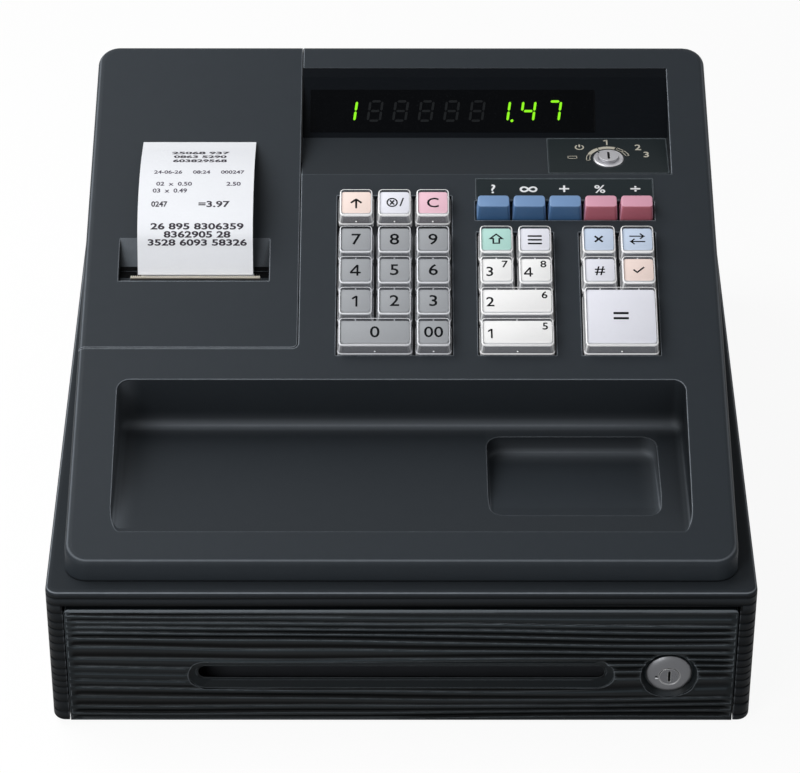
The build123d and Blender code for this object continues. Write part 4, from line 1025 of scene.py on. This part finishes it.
def makeDrawerFront():
    look = drawerLook
    front = placesLook["drawerFront"]
    width, height = 2 * look["half"], look["top"] - look["low"]
    middle = Vector((0, front, (look["top"] + look["low"]) / 2)) * mm
    flatWidth, flatHeight = width - 2 * look["rim"], height - 2 * look["rim"]
    clearSelection()
    bpy.ops.mesh.primitive_grid_add(
        x_subdivisions=look["columns"], y_subdivisions=look["rows"], size=1,
        location=middle, rotation=(pi / 2, 0, 0),
    )
    piece = settled((flatWidth * mm, flatHeight * mm, 1))

    def insetOf(x, z):
        return min(flatWidth / 2 - abs(x) / mm, flatHeight / 2 - abs(z - middle.z) / mm)

    for vertex in piece.data.vertices:  # the flutes, fading out at the border
        x, z = vertex.co.x, vertex.co.z
        fade = min(1.0, max(0.0, insetOf(x, z) / fluteLook["border"]))
        vertex.co.y += fluteLook["depth"] * mm * fade * (1 - ridgeAt(x, z))
    openMesh(piece)
    bpy.ops.mesh.select_non_manifold()
    rim, drop, wall = look["rim"], look["rimDrop"], look["wall"]
    for back, x, z in (  # the border is drawn out step by step, and then in again
        (drop * 0.3, (flatWidth + rim) / flatWidth, (flatHeight + rim) / flatHeight),
        (drop * 0.7, width / (flatWidth + rim), height / (flatHeight + rim)),
        (look["depth"] - drop, 1, 1),
        (0, (width - 2 * wall) / width, (height - 2 * wall) / height),
        (wall - look["depth"], 1, 1),
    ):
        bpy.ops.mesh.extrude_region_move(TRANSFORM_OT_translate={"value": (0, back * mm, 0)})
        bpy.ops.transform.resize(value=(x, 1, z), center_override=middle)
    bpy.ops.mesh.edge_face_add()
    bpy.ops.mesh.select_all(action="SELECT")
    bpy.ops.mesh.normals_make_consistent(inside=False)
    closeMesh()
    keep = newBlock(width, 60, height, middle / mm)
    roundCorners(keep, look["topCorner"], 6, axis=1, above=middle.z)
    cutWith(piece, keep, "INTERSECT")
    cutSeats(piece)
    groove = piece.data.attributes.new("groove", "FLOAT", "POINT")
    bezel = look["slotHeight"] / 2 + look["bezelZ"] + look["smoothSpare"]
    seat = look["lockSeat"] + look["smoothSpare"]
    for index, vertex in enumerate(piece.data.vertices):
        x, z = vertex.co.x / mm, vertex.co.z / mm
        deep = (vertex.co.y / mm - front) / fluteLook["depth"]
        aside = max(0.0, abs(x) - look["slotHalf"] + look["slotHeight"] / 2)
        smooth = insetOf(vertex.co.x, vertex.co.z) < fluteLook["border"] * 0.9
        smooth = smooth or Vector((aside, z - look["slotZ"])).length < bezel
        smooth = smooth or Vector((x - look["lockX"], z - look["lockZ"])).length < seat
        groove.data[index].value = look["smooth"] if smooth else min(1.0, max(0.0, deep))
    finishPiece(piece, "fluted_drawer_front", "drawer", "drawer", smooth=28)
    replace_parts(piece, "drawer_front")


# Lock faces: domed collars round their turning cores
lockLook = {
    "collar": 10.9, "rim": 0.5, "bore": 4.78, "seat": -2.6, "body": 9.0, "bodyBack": -12.5,
    "dome": (
        (0.35, 0.35), (0.8, 0.55), (1.3, 0.6), (1.8, 0.42), (1.4, 0.16), (0.2, -0.25), (0.2, 0.0),
    ),
    "nut": (12.0, -7.0, -4.0, 6),
    # name, finish, width, length, x, y and height of each small mark
    "marks": (
        ("lock_mark", "ink", 1.5, 0.8, -6.0, -0.3, -0.1),
        ("lock_mark_shine", "paper", 1.5, 0.6, -6.0, -1.2, -0.1),
    ),
}
modeLook = {
    "collar": 7.7, "rim": 0.7, "bore": 5.08, "seat": 0.0, "body": 6.6, "bodyBack": -14.8,
    "dome": ((0.25, 0.3), (0.35, 0.2), (0.35, -0.1), (0.7, 0.05), (0.6, 0.0), (0.15, -0.1)),
    "x": 104.9, "y": -20.0, "marks": (("switch_dot", "ink", 0.9, 0.9, -4.9, 3.4, 1.97),),
}


def makeCollar(name, look, body, finish, spot, replaced):
    # a collar on a round body, bored through for its core, with its marks
    collar = newRod(look["collar"], look["seat"], look["seat"] + look["rim"], 72)
    growSteps(collar, look["dome"])
    barrel = newRod(look["body"], look["bodyBack"], look["seat"] + 0.05, 48)
    roundOff(barrel, 0.3)
    parts = [collar, barrel]
    if "nut" in look:
        parts.append(newRod(*look["nut"]))
        roundOff(parts[-1], 0.4)
    for part in parts:
        cutWith(part, newRod(look["bore"], -40, 20))
    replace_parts(finishPiece(parts, name, body, finish, spot), replaced)
    for title, shade, width, length, x, y, out in look["marks"]:
        mark = newBlock(width, length, 0.12, (x, y, out))
        roundCorners(mark, min(width, length) * 0.3, 2)
        finishPiece(mark, title, body, shade, spot)


def barMark(bars, thick=0.1):
    # a mark built of round-ended bars: x, y, length, width and turn of each
    parts = []
    for x, y, length, width, turn in bars:
        bar = newBlock(length, width, thick)
        roundCorners(bar, width * 0.3, 2)
        bar.data.transform(shift(x, y) @ turned(turn))
        parts.append(bar)
    return joinPieces(parts)


def makeLocks():
    spot = at(frontPlace, drawerLook["lockX"], drawerLook["lockZ"])
    makeCollar("lock_collar", lockLook, "drawer", "lock", spot, "drawer_lock_barrel")
    spot = at(floorPlace, modeLook["x"], modeLook["y"])
    makeCollar("switch_collar", modeLook, "chassis", "switch", spot, "mode_switch_barrel")


# Plate round the mode switch, with its marks
plateLook = {
    "left": 74.0, "right": 135.4, "front": -33.2, "back": -0.6, "thick": 0.25, "gap": 0.02,
    "corner": (1.0, 3), "border": ((0.45, 0.0), (0.12, -0.08)), "spare": 0.15, "lift": 0.03,
    "arcIn": 9.2, "arcOut": 11.3, "printThick": 0.1, "line": 0.45, "step": 4,
    "filled": ((119, 156), (69, 116)), "hollow": ((158, 189), (44, 65), (15, 43)),
    "words": (("⏻", -14.3, 10.4, 5.6), ("2", 15.4, 10.4, 7.0), ("3", 19.4, 3.8, 7.0)),
    "weight": 0.1, "wordLift": 0.02,
    # x and y of each drawn mark, and its bars
    "drawn": (
        (-0.6, 15.2, ((0.4, 0, 5.0, 0.8, 90), (-0.5, 1.7, 2.0, 0.75, 38))),
        (-18.2, 1.4, (
            (0, 1.1, 4.8, 0.4, 0), (0, -1.1, 4.8, 0.4, 0), (-2.2, 0, 2.4, 0.4, 90),
            (2.2, 0, 2.4, 0.4, 90),
        )),
    ),
}


def arcStrip(inner, outer, start, end, thick):
    # a flat strip bent round the middle, between two angles
    strip = newBlock(outer - inner, 0.001, thick, ((inner + outer) / 2, 0, thick / 2))
    openMesh(strip, "FACE")
    pick(strip, "faces", lambda middle, normal: normal.y < -0.9)
    bpy.ops.mesh.select_all(action="INVERT")
    bpy.ops.mesh.delete(type="FACE")
    bpy.ops.mesh.select_all(action="SELECT")
    steps = max(2, int(abs(end - start) / plateLook["step"]))
    angle = radians(end - start)
    bpy.ops.mesh.spin(steps=steps, angle=angle, center=(0, 0, 0), axis=(0, 0, -1))
    bpy.ops.mesh.select_all(action="SELECT")
    bpy.ops.mesh.remove_doubles(threshold=1e-7)
    bpy.ops.mesh.normals_make_consistent(inside=False)
    closeMesh()
    farthest = max(strip.data.vertices, key=lambda v: abs(v.co.y)).co.y
    strip.data.transform(turned(end if farthest < 0 else start))  # spun either way round
    return strip


def makeModePlate():
    look = plateLook
    hole = newRod(modeLook["collar"] + look["spare"], -5, 5, 72)
    hole.data.transform(shift(modeLook["x"], modeLook["y"]))
    flatPlate("mode_plate", look, "plate", floorPlace, hole)
    spot = at(floorPlace, modeLook["x"], modeLook["y"], look["thick"] + look["lift"])
    inner, outer, line = look["arcIn"], look["arcOut"], look["line"]
    arcs = [(inner, outer, *span) for span in look["filled"]]
    reach = line / outer * 180 / pi
    for start, end in look["hollow"]:
        arcs += [
            (inner, inner + line, start, end), (outer - line, outer, start, end),
            (inner, outer, start, start + reach), (inner, outer, end - reach, end),
        ]
    strips = [arcStrip(*arc, look["printThick"]) for arc in arcs]
    marks = [
        newText(words, size, 1.0, look["weight"], shift(x, y, look["wordLift"]))
        for words, x, y, size in look["words"]
    ]
    for x, y, bars in look["drawn"]:
        marks.append(barMark(bars))
        marks[-1].data.transform(shift(x, y, look["printThick"] / 2))
    for name, pieces in (("switch_arcs", strips), ("switch_marks", marks)):
        finishPiece(pieces, name, "chassis", "cream", spot)


# Display window with its digits
displayLook = {
    "left": -46.5, "right": 99.0, "front": 3.0, "back": 25.8, "thick": 0.25, "gap": 0.01,
    "corner": (0.5, 2), "border": ((0.25, 0.0), (0.1, -0.06)),
    "first": -26.4, "pitch": 13.05, "middle": 14.3, "width": 6.2, "height": 10.4, "slant": 8.0,
    "bar": 1.25, "barGap": 0.5, "barThick": 0.08, "barPoint": 0.42, "dotAside": 2.3, "dot": 0.6,
    "shown": ("1", "8", "8", "8", "8", "8", "1.", "4", "7"), "lit": (0, 6, 7, 8),
}
# Bars of each digit, from the top one round and then the middle one
digitBars = {"1": "bc", "4": "fgbc", "7": "abc", "8": "abcdefg"}


def makeBar(length):
    # one segment with pointed ends
    look = displayLook
    bar = newBlock(length, look["bar"], look["barThick"])
    roundCorners(bar, look["bar"] * look["barPoint"], 1)
    return bar


def makeDigit(words, x):
    look = displayLook
    width, half = look["width"], look["height"] / 2
    lying = makeBar(width - look["bar"] - look["barGap"])
    standing = makeBar(half - look["barGap"])
    # sideways and upward place of each bar, in half widths and half heights
    spots = {
        "a": (0, 1), "g": (0, 0), "d": (0, -1), "f": (-1, 0.5), "b": (1, 0.5),
        "e": (-1, -0.5), "c": (1, -0.5),
    }
    bars = []
    for letter in digitBars[words[0]]:
        aside, up = spots[letter]
        place = shift(aside * width / 2, up * half) @ turned(90 if aside else 0)
        bars.append(copyPiece(standing if aside else lying, place))
    if "." in words:
        point = newRod(look["bar"] * look["dot"], -0.04, 0.04, 12)
        point.data.transform(shift(width / 2 + look["dotAside"], -half))
        bars.append(point)
    bpy.data.objects.remove(lying)
    bpy.data.objects.remove(standing)
    digit = joinPieces(bars)
    lean = Matrix.Identity(4)
    lean[0][1] = sin(radians(look["slant"]))
    digit.data.transform(shift(x, look["middle"]) @ lean)
    return digit


def makeDisplay():
    look = displayLook
    flatPlate("display_window", look, "window", panelPlace)
    digits = {"lit": [], "unlit": []}
    for count, words in enumerate(look["shown"]):
        kind = "lit" if count in look["lit"] else "unlit"
        digits[kind].append(makeDigit(words, look["first"] + count * look["pitch"]))
    spot = at(panelPlace, 0, 0, look["thick"])
    for kind, pieces in digits.items():
        finishPiece(pieces, kind + "_digits", "chassis", kind, spot)


# Places and sizes of the keys, across and up the deck
keyGrid = {
    "pitchX": 19.1, "pitchRun": 18.7, "firstRun": 126.1, "topRun": 204.9,
    "numbers": -3.4, "items": 56.55, "totals": 107.3, "width": 18.0, "length": 17.4,
}


def lone(words, size=1.0):
    # one mark in the middle of a key: words or icon, x, y and size
    return ((words, 0, 0, size),)


def pair(large, small, left=-3.4, right=3.9, up=-1.0):
    return ((large, left, up, 0.85), (small, right, 3.6, 0.62))


# Name, kind, block, column, row, finish and marks
keyRows = [
    (str(count), "single", "numbers", (count - 1) % 3 - 1, (count - 1) // 3 + 1, "grey",
     lone(str(count))) for count in range(1, 10)
] + [
    ("0", "wide", "numbers", -0.5, 0, "grey", lone("0")),
    ("00", "single", "numbers", 1, 0, "grey", lone("00", 0.95)),
    ("feed", "single", "numbers", -1, "top", "peach", lone("arrow")),
    ("receipt_switch", "single", "numbers", 0, "top", "pale", (
        ("crossed", -1.2, 0.4, 1.0), ("/", 3.6, 0.4, 0.75),
    )),
    ("clear", "single", "numbers", 1, "top", "pink", lone("C", 0.9)),
    ("shift", "single", "items", -0.5, 3, "mint", lone("⇧", 0.85)),
    ("lookup", "single", "items", 0.5, 3, "pale", lone("lines")),
    ("item_3", "single", "items", -0.5, 2, "white", pair("3", "7")),
    ("item_4", "single", "items", 0.5, 2, "white", pair("4", "8")),
    ("item_2", "wide", "items", 0, 1, "white", pair("2", "6", -13.0, 13.6, -0.6)),
    ("item_1", "wide", "items", 0, 0, "white", pair("1", "5", -13.0, 13.6, -0.6)),
    ("credit", "single", "totals", -0.5, 3, "sky", lone("×")),
    ("exchange", "single", "totals", 0.5, 3, "sky", lone("⇄", 0.8)),
    ("subtotal", "single", "totals", -0.5, 2, "pale", lone("#", 0.8)),
    ("cheque", "single", "totals", 0.5, 2, "peach", lone("✓", 0.8)),
    ("total", "tall", "totals", 0, 0.5, "pale", lone("=", 1.5)),
]


def keySize(kind):
    look = keyGrid
    width = look["width"] + (0 if kind == "single" else look["pitchX"])
    length = look["length"] + (look["pitchRun"] if kind == "tall" else 0)
    return width, length


def splitAt(level):
    bpy.ops.mesh.select_all(action="SELECT")
    bpy.ops.mesh.bisect(plane_co=(0, 0, level * mm), plane_no=(0, 0, 1))


def atTop(high):
    return lambda middle, way: middle.z > (high - 0.01) * mm


def makeKeyBody(kind):
    look = keyLook
    width, length = keySize(kind)
    low, high = -look["sink"] + 0.1, look["bodyTop"]
    wide, long = width - look["bodyEdge"], length - look["bodyEdge"]
    body = newBlock(wide, long, high - low, (0, 0, (high + low) / 2))
    taper = 2 * look["bodyTaper"]
    scaleTop(body, (wide - taper) / wide, (long - taper) / long)
    top = atTop(high)
    openMesh(body)
    splitAt(high - look["labelDepth"])
    pick(body, "edges", lambda middle, way: top(middle, way) and middle.y < -0.4 * long * mm)
    bpy.ops.transform.translate(value=(0, look["bandRun"] * mm, 0))  # the sloping front band
    pick(body, "edges", lambda middle, way: abs(way.z) > 0.75)
    bevelEdges(look["bodyCorner"], 3)
    pick(body, "edges", top)
    bevelEdges(look["bodyRound"], 2)
    closeMesh()
    return body


def makeKeyCap(kind):
    look = keyLook
    width, length = keySize(kind)
    low, high = -look["sink"], look["height"]
    cap = newBlock(width, length, high - low, (0, 0, (high + low) / 2))
    narrower = 2 * (high - low) * look["taper"]
    shorter = keyGrid["length"] * (1 - look["topLong"])
    scaleTop(cap, (width - narrower) / width, (length - shorter) / length)
    roundCorners(cap, look["cornerRadius"], 3)
    openMesh(cap)
    pick(cap, "edges", atTop(high))
    bevelEdges(look["topRound"], 2)
    for level in look["footBand"]:  # a foot band for a painted highlight
        splitAt(level)
    closeMesh()
    radius, half, steps, inset, up = look["dot"]
    dot = newRod(radius, -half, half, 12)
    growSteps(dot, steps)
    dot.data.transform(shift(0, -length / 2 + inset, up) @ turned(90, "X"))
    count = len(cap.data.polygons)
    cap = joinPieces([cap, dot])
    # painted highlight and glow on the rim faces and on the whole front dot
    rim = cap.data.attributes.new("rim", "FLOAT", "FACE")
    for index, face in enumerate(cap.data.polygons):
        shine = 1.0 if index >= count else rimOf(face.center / mm, face.normal)
        rim.data[index].value = shine
    return cap


def rimOf(middle, normal):
    # how strong the painted highlight is on a face of a clear cap
    low, high = keyLook["footBand"]
    if normal.z < -0.9 or normal.z >= 0.93:
        return 0.0
    if normal.z > 0.2:
        return 0.92
    if low < middle.z < high:
        return 1.0
    if abs(normal.x) > 0.25 and abs(normal.y) > 0.25:
        return 0.8 if abs(abs(normal.x) - abs(normal.y)) < 0.4 else 0.35
    return 0.46 if abs(normal.x) > 0.5 else 0.1


# The five plain keys over the others
plainKeyLook = {
    "x": 46.0, "pitch": 17.88, "width": 16.9, "length": 11.0, "height": 7.1, "lean": 2.6,
    "back": 1.3, "topWide": 0.92, "corner": 1.7, "round": 0.4,
    "finishes": ("blue", "blue", "blue", "rose", "rose"),
}


def makePlainKey():
    look = plainKeyLook
    low, high = -keyLook["sink"], look["height"]
    edge = 0.2 * look["length"] * mm
    middle = (0, 0, (high + low) / 2)
    key = newBlock(look["width"], look["length"], high - low, middle)
    top = atTop(high)
    openMesh(key)
    for side, move in ((-1, look["lean"]), (1, -look["back"])):
        pick(key, "edges", lambda middle, way: (
            top(middle, way) and middle.y * side > edge and abs(way.x) > 0.9
        ))
        bpy.ops.transform.translate(value=(0, move * mm, 0))
    closeMesh()
    scaleTop(key, look["topWide"], 1)
    openMesh(key)
    pick(key, "edges", lambda middle, way: abs(way.z) > 0.8)
    bevelEdges(look["corner"], 5)
    pick(key, "edges", top)
    bevelEdges(look["round"], 3)
    closeMesh()
    return key


keyIcons = {
    "1": ((0.5, 0, 6.4, 1.0, 90), (-0.6, 2.2, 2.6, 0.95, 38)),
    "4": ((0.9, 0, 6.6, 0.95, 90), (-0.15, -1.4, 5.3, 0.95, 0), (-0.85, 0.9, 5.7, 0.9, 53)),
    "crossed": ((0, 0, 3.4, 0.75, 52), (0, 0, 3.4, 0.75, -52)),
    "arrow": ((0, -0.5, 5.4, 0.95, 90), (-1.3, 1.3, 3.6, 0.95, 40), (1.3, 1.3, 3.6, 0.95, -40)),
    "lines": ((0, 2.3, 7.0, 0.9, 0), (0, 0, 7.0, 0.9, 0), (0, -2.3, 7.0, 0.9, 0)),
}
iconRing = (2.15, 2.8, 0, 360, 0.1)  # round the crossed icon


def keyMark(words, x, y, size):
    look = keyLook
    if words in keyIcons:
        mark = barMark(keyIcons[words])
        if words == "crossed":
            mark = joinPieces([mark, arcStrip(*iconRing)])
        mark.data.transform(shift(x, y) @ Matrix.Diagonal((size, size, 1, 1)))
        return mark
    size = look["legendSize"] * size
    return newText(words, size, look["legendWiden"], look["legendWeight"], shift(x, y))


def makeKeys():
    grid, kinds = keyGrid, ("single", "wide", "tall")
    bodies = {kind: makeKeyBody(kind) for kind in kinds}
    caps = {kind: makeKeyCap(kind) for kind in kinds}
    for title, kind, block, column, row, finish, marks in keyRows:
        name = "key_" + title
        x = grid[block] + column * grid["pitchX"]
        run = grid["topRun"] if row == "top" else grid["firstRun"] + grid["pitchRun"] * row
        spot = at(deckPlace, x, run)
        top = at(deckPlace, x, run, keyLook["bodyTop"] + keyLook["legendLift"])
        body, cap = copyPiece(bodies[kind], spot), copyPiece(caps[kind], spot)
        legend = [keyMark(*mark) for mark in marks]
        clear = "greyCap" if finish == "grey" else "clearCap"
        finishPiece(body, name + "_label", name + "_button", finish)
        finishPiece(cap, name + "_cap", name + "_button", clear)
        finishPiece(legend, name + "_legend", name + "_button", "ink", top)
        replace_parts(body, name)
    plain = makePlainKey()
    for count, finish in enumerate(plainKeyLook["finishes"]):
        name = f"key_function_{count + 1}"
        x = plainKeyLook["x"] + count * plainKeyLook["pitch"]
        key = copyPiece(plain, at(deckPlace, x, grid["topRun"]))
        finishPiece(key, name + "_plain", name + "_button", finish)
        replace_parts(key, name)
    for piece in [plain, *bodies.values(), *caps.values()]:
        bpy.data.objects.remove(piece)


# Plate with the marks of the plain keys
labelLook = {
    "left": 37.1, "right": 126.8, "front": 211.3, "back": 225.2, "thick": 0.2, "gap": 0.01,
    "corner": (0.8, 3), "border": ((0.4, 0.0), (0.12, -0.08)), "lift": 0.03, "markRun": 218.0,
    "marks": (("?", 1.0), ("∞", 1.15), ("+", 1.1), ("%", 0.9), ("÷", 1.1)), "size": 7.6,
    "widen": 1.2, "weight": 0.1,
}


def makeLabelPlate():
    look = labelLook
    flatPlate("label_plate", look, "plate", deckPlace)
    marks = []
    for count, (words, size) in enumerate(look["marks"]):
        place = shift(plainKeyLook["x"] + count * plainKeyLook["pitch"], look["markRun"])
        marks.append(newText(words, look["size"] * size, look["widen"], look["weight"], place))
    spot = at(deckPlace, 0, 0, look["thick"] + look["lift"])
    finishPiece(marks, "label_marks", "chassis", "whitePrint", spot)


# Dark strip in the seam beside the cover, over the ridge: painted shade where the gap shows
seamShadeLook = {
    "x": -50.41, "width": 0.4, "under": 1.1, "thick": 1.6, "round": 0.06, "from": 236.0,
    "ridge": 311.0, "rearTilt": -64.8, "rearLength": 60.0,
}


def makeSeamLining():
    look = seamShadeLook
    ridge = deckPlace @ (Vector((0, look["ridge"], 0)) * mm)
    rearPlace = Matrix.Translation(ridge) @ turned(look["rearTilt"], "X")
    strips = []
    for place, low, high in (
        (deckPlace, look["from"], look["ridge"] - look["under"]),
        (rearPlace, look["under"], look["rearLength"]),
    ):
        middle = (look["x"], (low + high) / 2, -look["under"] - look["thick"] / 2)
        strip = newBlock(look["width"], high - low, look["thick"], middle)
        roundOff(strip, look["round"], 2)
        strip.data.transform(place)
        strips.append(strip)
    finishPiece(strips, "seam_shade_strip", "chassis", "gland")


# Cutter with its fine teeth, and dark plates at the ends of the paper exit as painted shade
exitLook = {
    "middle": -101.9, "half": 32.1, "run": 165.4, "thick": 0.8, "crest": -1.8, "foot": -8.3,
    "round": 0.08, "tooth": 1.2, "teeth": 62, "toothWide": 0.96, "toothTop": (0.12, 0.6),
    "overlap": 0.1, "ends": ((-139.5, -130.9), (-72.9, -65.6)),
    # run, height, tilt and length of the plates of painted shade
    "plates": ((172.7, -5.46, 20.56, 2.2), (168.9, -5.08, -16.54, 5.0)),
    "plateThick": 0.12, "plateRound": 0.03,
}


def makeCutter():
    look = exitLook
    root, width, thick = look["crest"] - look["tooth"], 2 * look["half"], look["thick"]
    bar = newBlock(width, thick, root - look["foot"], (0, 0, (root + look["foot"]) / 2))
    roundOff(bar, look["round"], 1)
    pitch, high = width / look["teeth"], look["tooth"] + look["overlap"]
    middle = (0, 0, root + high / 2 - look["overlap"])
    tooth = newBlock(pitch * look["toothWide"], thick, high, middle)
    scaleTop(tooth, *look["toothTop"])
    parts = [bar]
    for count in range(look["teeth"]):
        parts.append(copyPiece(tooth, shift((count + 0.5) * pitch - look["half"])))
    bpy.data.objects.remove(tooth)
    place = at(deckPlace, look["middle"], look["run"] + thick / 2)
    cutter = finishPiece(parts, "fine_tear_bar", "cover", "cutter", place)
    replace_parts(cutter, "tear_bar")


def makeExitLining():
    look = exitLook
    plates = []
    for left, right in look["ends"]:
        for run, out, tilt, length in look["plates"]:
            plate = newBlock(right - left, length, look["plateThick"])
            roundOff(plate, look["plateRound"], 1)
            spot = at(deckPlace, (left + right) / 2, run, out)
            plate.data.transform(spot @ turned(tilt, "X"))
            plates.append(plate)
    finishPiece(plates, "exit_shade_plates", "cover", "paintedShade")


# Receipt paper and its print
receiptLook = {
    "left": -130.4, "right": -73.4, "thick": 0.22, "columns": 12, "rows": 90, "lift": 0.05,
    "printMiddle": -100.9, "capShare": 0.7, "tangent": 0.4,
    "prints": {
        # weight, then for each row: way along the paper, words, height, width, and way aside
        "faint": (0.09, (
            (58.4, "24-06-26     08:24     000247", 2.6, 45.0, 0),
            (49.4, "02  x  0.50               2.50", 2.6, 42.0, 0),
            (44.7, "03  x  0.49", 2.6, 17.0, -14.0),
        )),
        "strong": (0.13, (
            (77.0, "25068 937", 2.5, 29.0, 0), (72.8, "0863 5290", 2.5, 26.5, 0),
            (68.6, "603829568", 2.5, 27.0, 0), (36.2, "0247", 3.0, 8.0, -19.0),
            (36.2, "=3.97", 3.4, 15.5, 8.0), (24.2, "26 895 8306359", 3.0, 46.0, 0),
            (20.2, "8362905 28", 3.0, 33.0, 0), (16.2, "3528 6093 58326", 3.0, 49.0, 0),
        )),
    },
}


def paperLine():
    # middle line of the sheet as run and rise, read from the strip's own shape
    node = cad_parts["receipt_strip"]
    flat = deckPlace.inverted()
    right = max(vertex.co.x for vertex in node.data.vertices)
    rim = {}
    for vertex in node.data.vertices:
        if vertex.co.x > right - 1e-5:
            spot = (flat @ vertex.co) / mm
            rim[(round(spot.y, 2), round(spot.z, 2))] = Vector((spot.y, spot.z))
    rim = sorted(rim.values(), key=lambda spot: spot.x)
    return [(rim[i] + rim[i + 1]) / 2 for i in range(0, len(rim) - 1, 2)]


class Sheet:
    # the bent paper: finds the point a given way along it
    def __init__(self, line):
        self.line = line
        self.ways = [0.0]
        for first, last in zip(line, line[1:]):
            self.ways.append(self.ways[-1] + (last - first).length)
        self.length = self.ways[-1]

    def point(self, way):
        way = min(max(way, 0.0), self.length - 1e-6)
        step = max(i for i, value in enumerate(self.ways[:-1]) if value <= way)
        part = (way - self.ways[step]) / (self.ways[step + 1] - self.ways[step])
        last = len(self.line) - 1
        a, b, c, d = [self.line[min(max(step + i, 0), last)] for i in (-1, 0, 1, 2)]
        return 0.5 * (
            2 * b + (c - a) * part + (2 * a - 5 * b + 4 * c - d) * part ** 2
            + (3 * b - a - 3 * c + d) * part ** 3
        )

    def bent(self, x, way, out):
        reach = receiptLook["tangent"]
        ahead = (self.point(way + reach) - self.point(way - reach)).normalized()
        spot = self.point(way) + Vector((-ahead.y, ahead.x)) * out
        return deckPlace @ (Vector((x, spot.x, spot.y)) * mm)


def makeReceipt():
    look = receiptLook
    sheet = Sheet(paperLine())
    width = look["right"] - look["left"]
    clearSelection()
    bpy.ops.mesh.primitive_grid_add(
        x_subdivisions=look["columns"], y_subdivisions=look["rows"], size=1,
    )
    paper = bpy.context.object
    for vertex in paper.data.vertices:
        x = look["left"] + (vertex.co.x + 0.5) * width
        vertex.co = sheet.bent(x, (vertex.co.y + 0.5) * sheet.length, 0)
    applyModifier(paper, "SOLIDIFY", thickness=look["thick"] * mm, offset=0)
    finishPiece(paper, "printed_receipt", "cover", "paper", smooth=60)
    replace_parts(paper, "receipt_strip")
    out = look["thick"] / 2 + look["lift"]
    for kind, (weight, lines) in look["prints"].items():
        rows = []
        for way, words, height, reach, aside in lines:
            row = newText(words, height / look["capShare"], 1.0, weight)
            sides = [vertex.co.x for vertex in row.data.vertices]
            scale = reach / (max(sides) - min(sides))
            for vertex in row.data.vertices:
                x = look["printMiddle"] + aside + vertex.co.x * scale
                vertex.co = sheet.bent(x, way + vertex.co.y / mm, out)
            rows.append(row)
        finishPiece(rows, kind + "_print", "cover", kind + "Print")


addCamera()
addStage()
makeFinishes()
print("finishes ready:", len(finishes))
dressNodes()
makeDrawerFront()
print("drawer front ready")
makeLocks()
makeModePlate()
print("locks and mode plate ready")
makeDisplay()
makeLabelPlate()
makeSeamLining()
makeCutter()
makeExitLining()
print("display, label plate, linings and cutter ready")
makeKeys()
print("keys ready")
makeReceipt()
print("receipt ready")
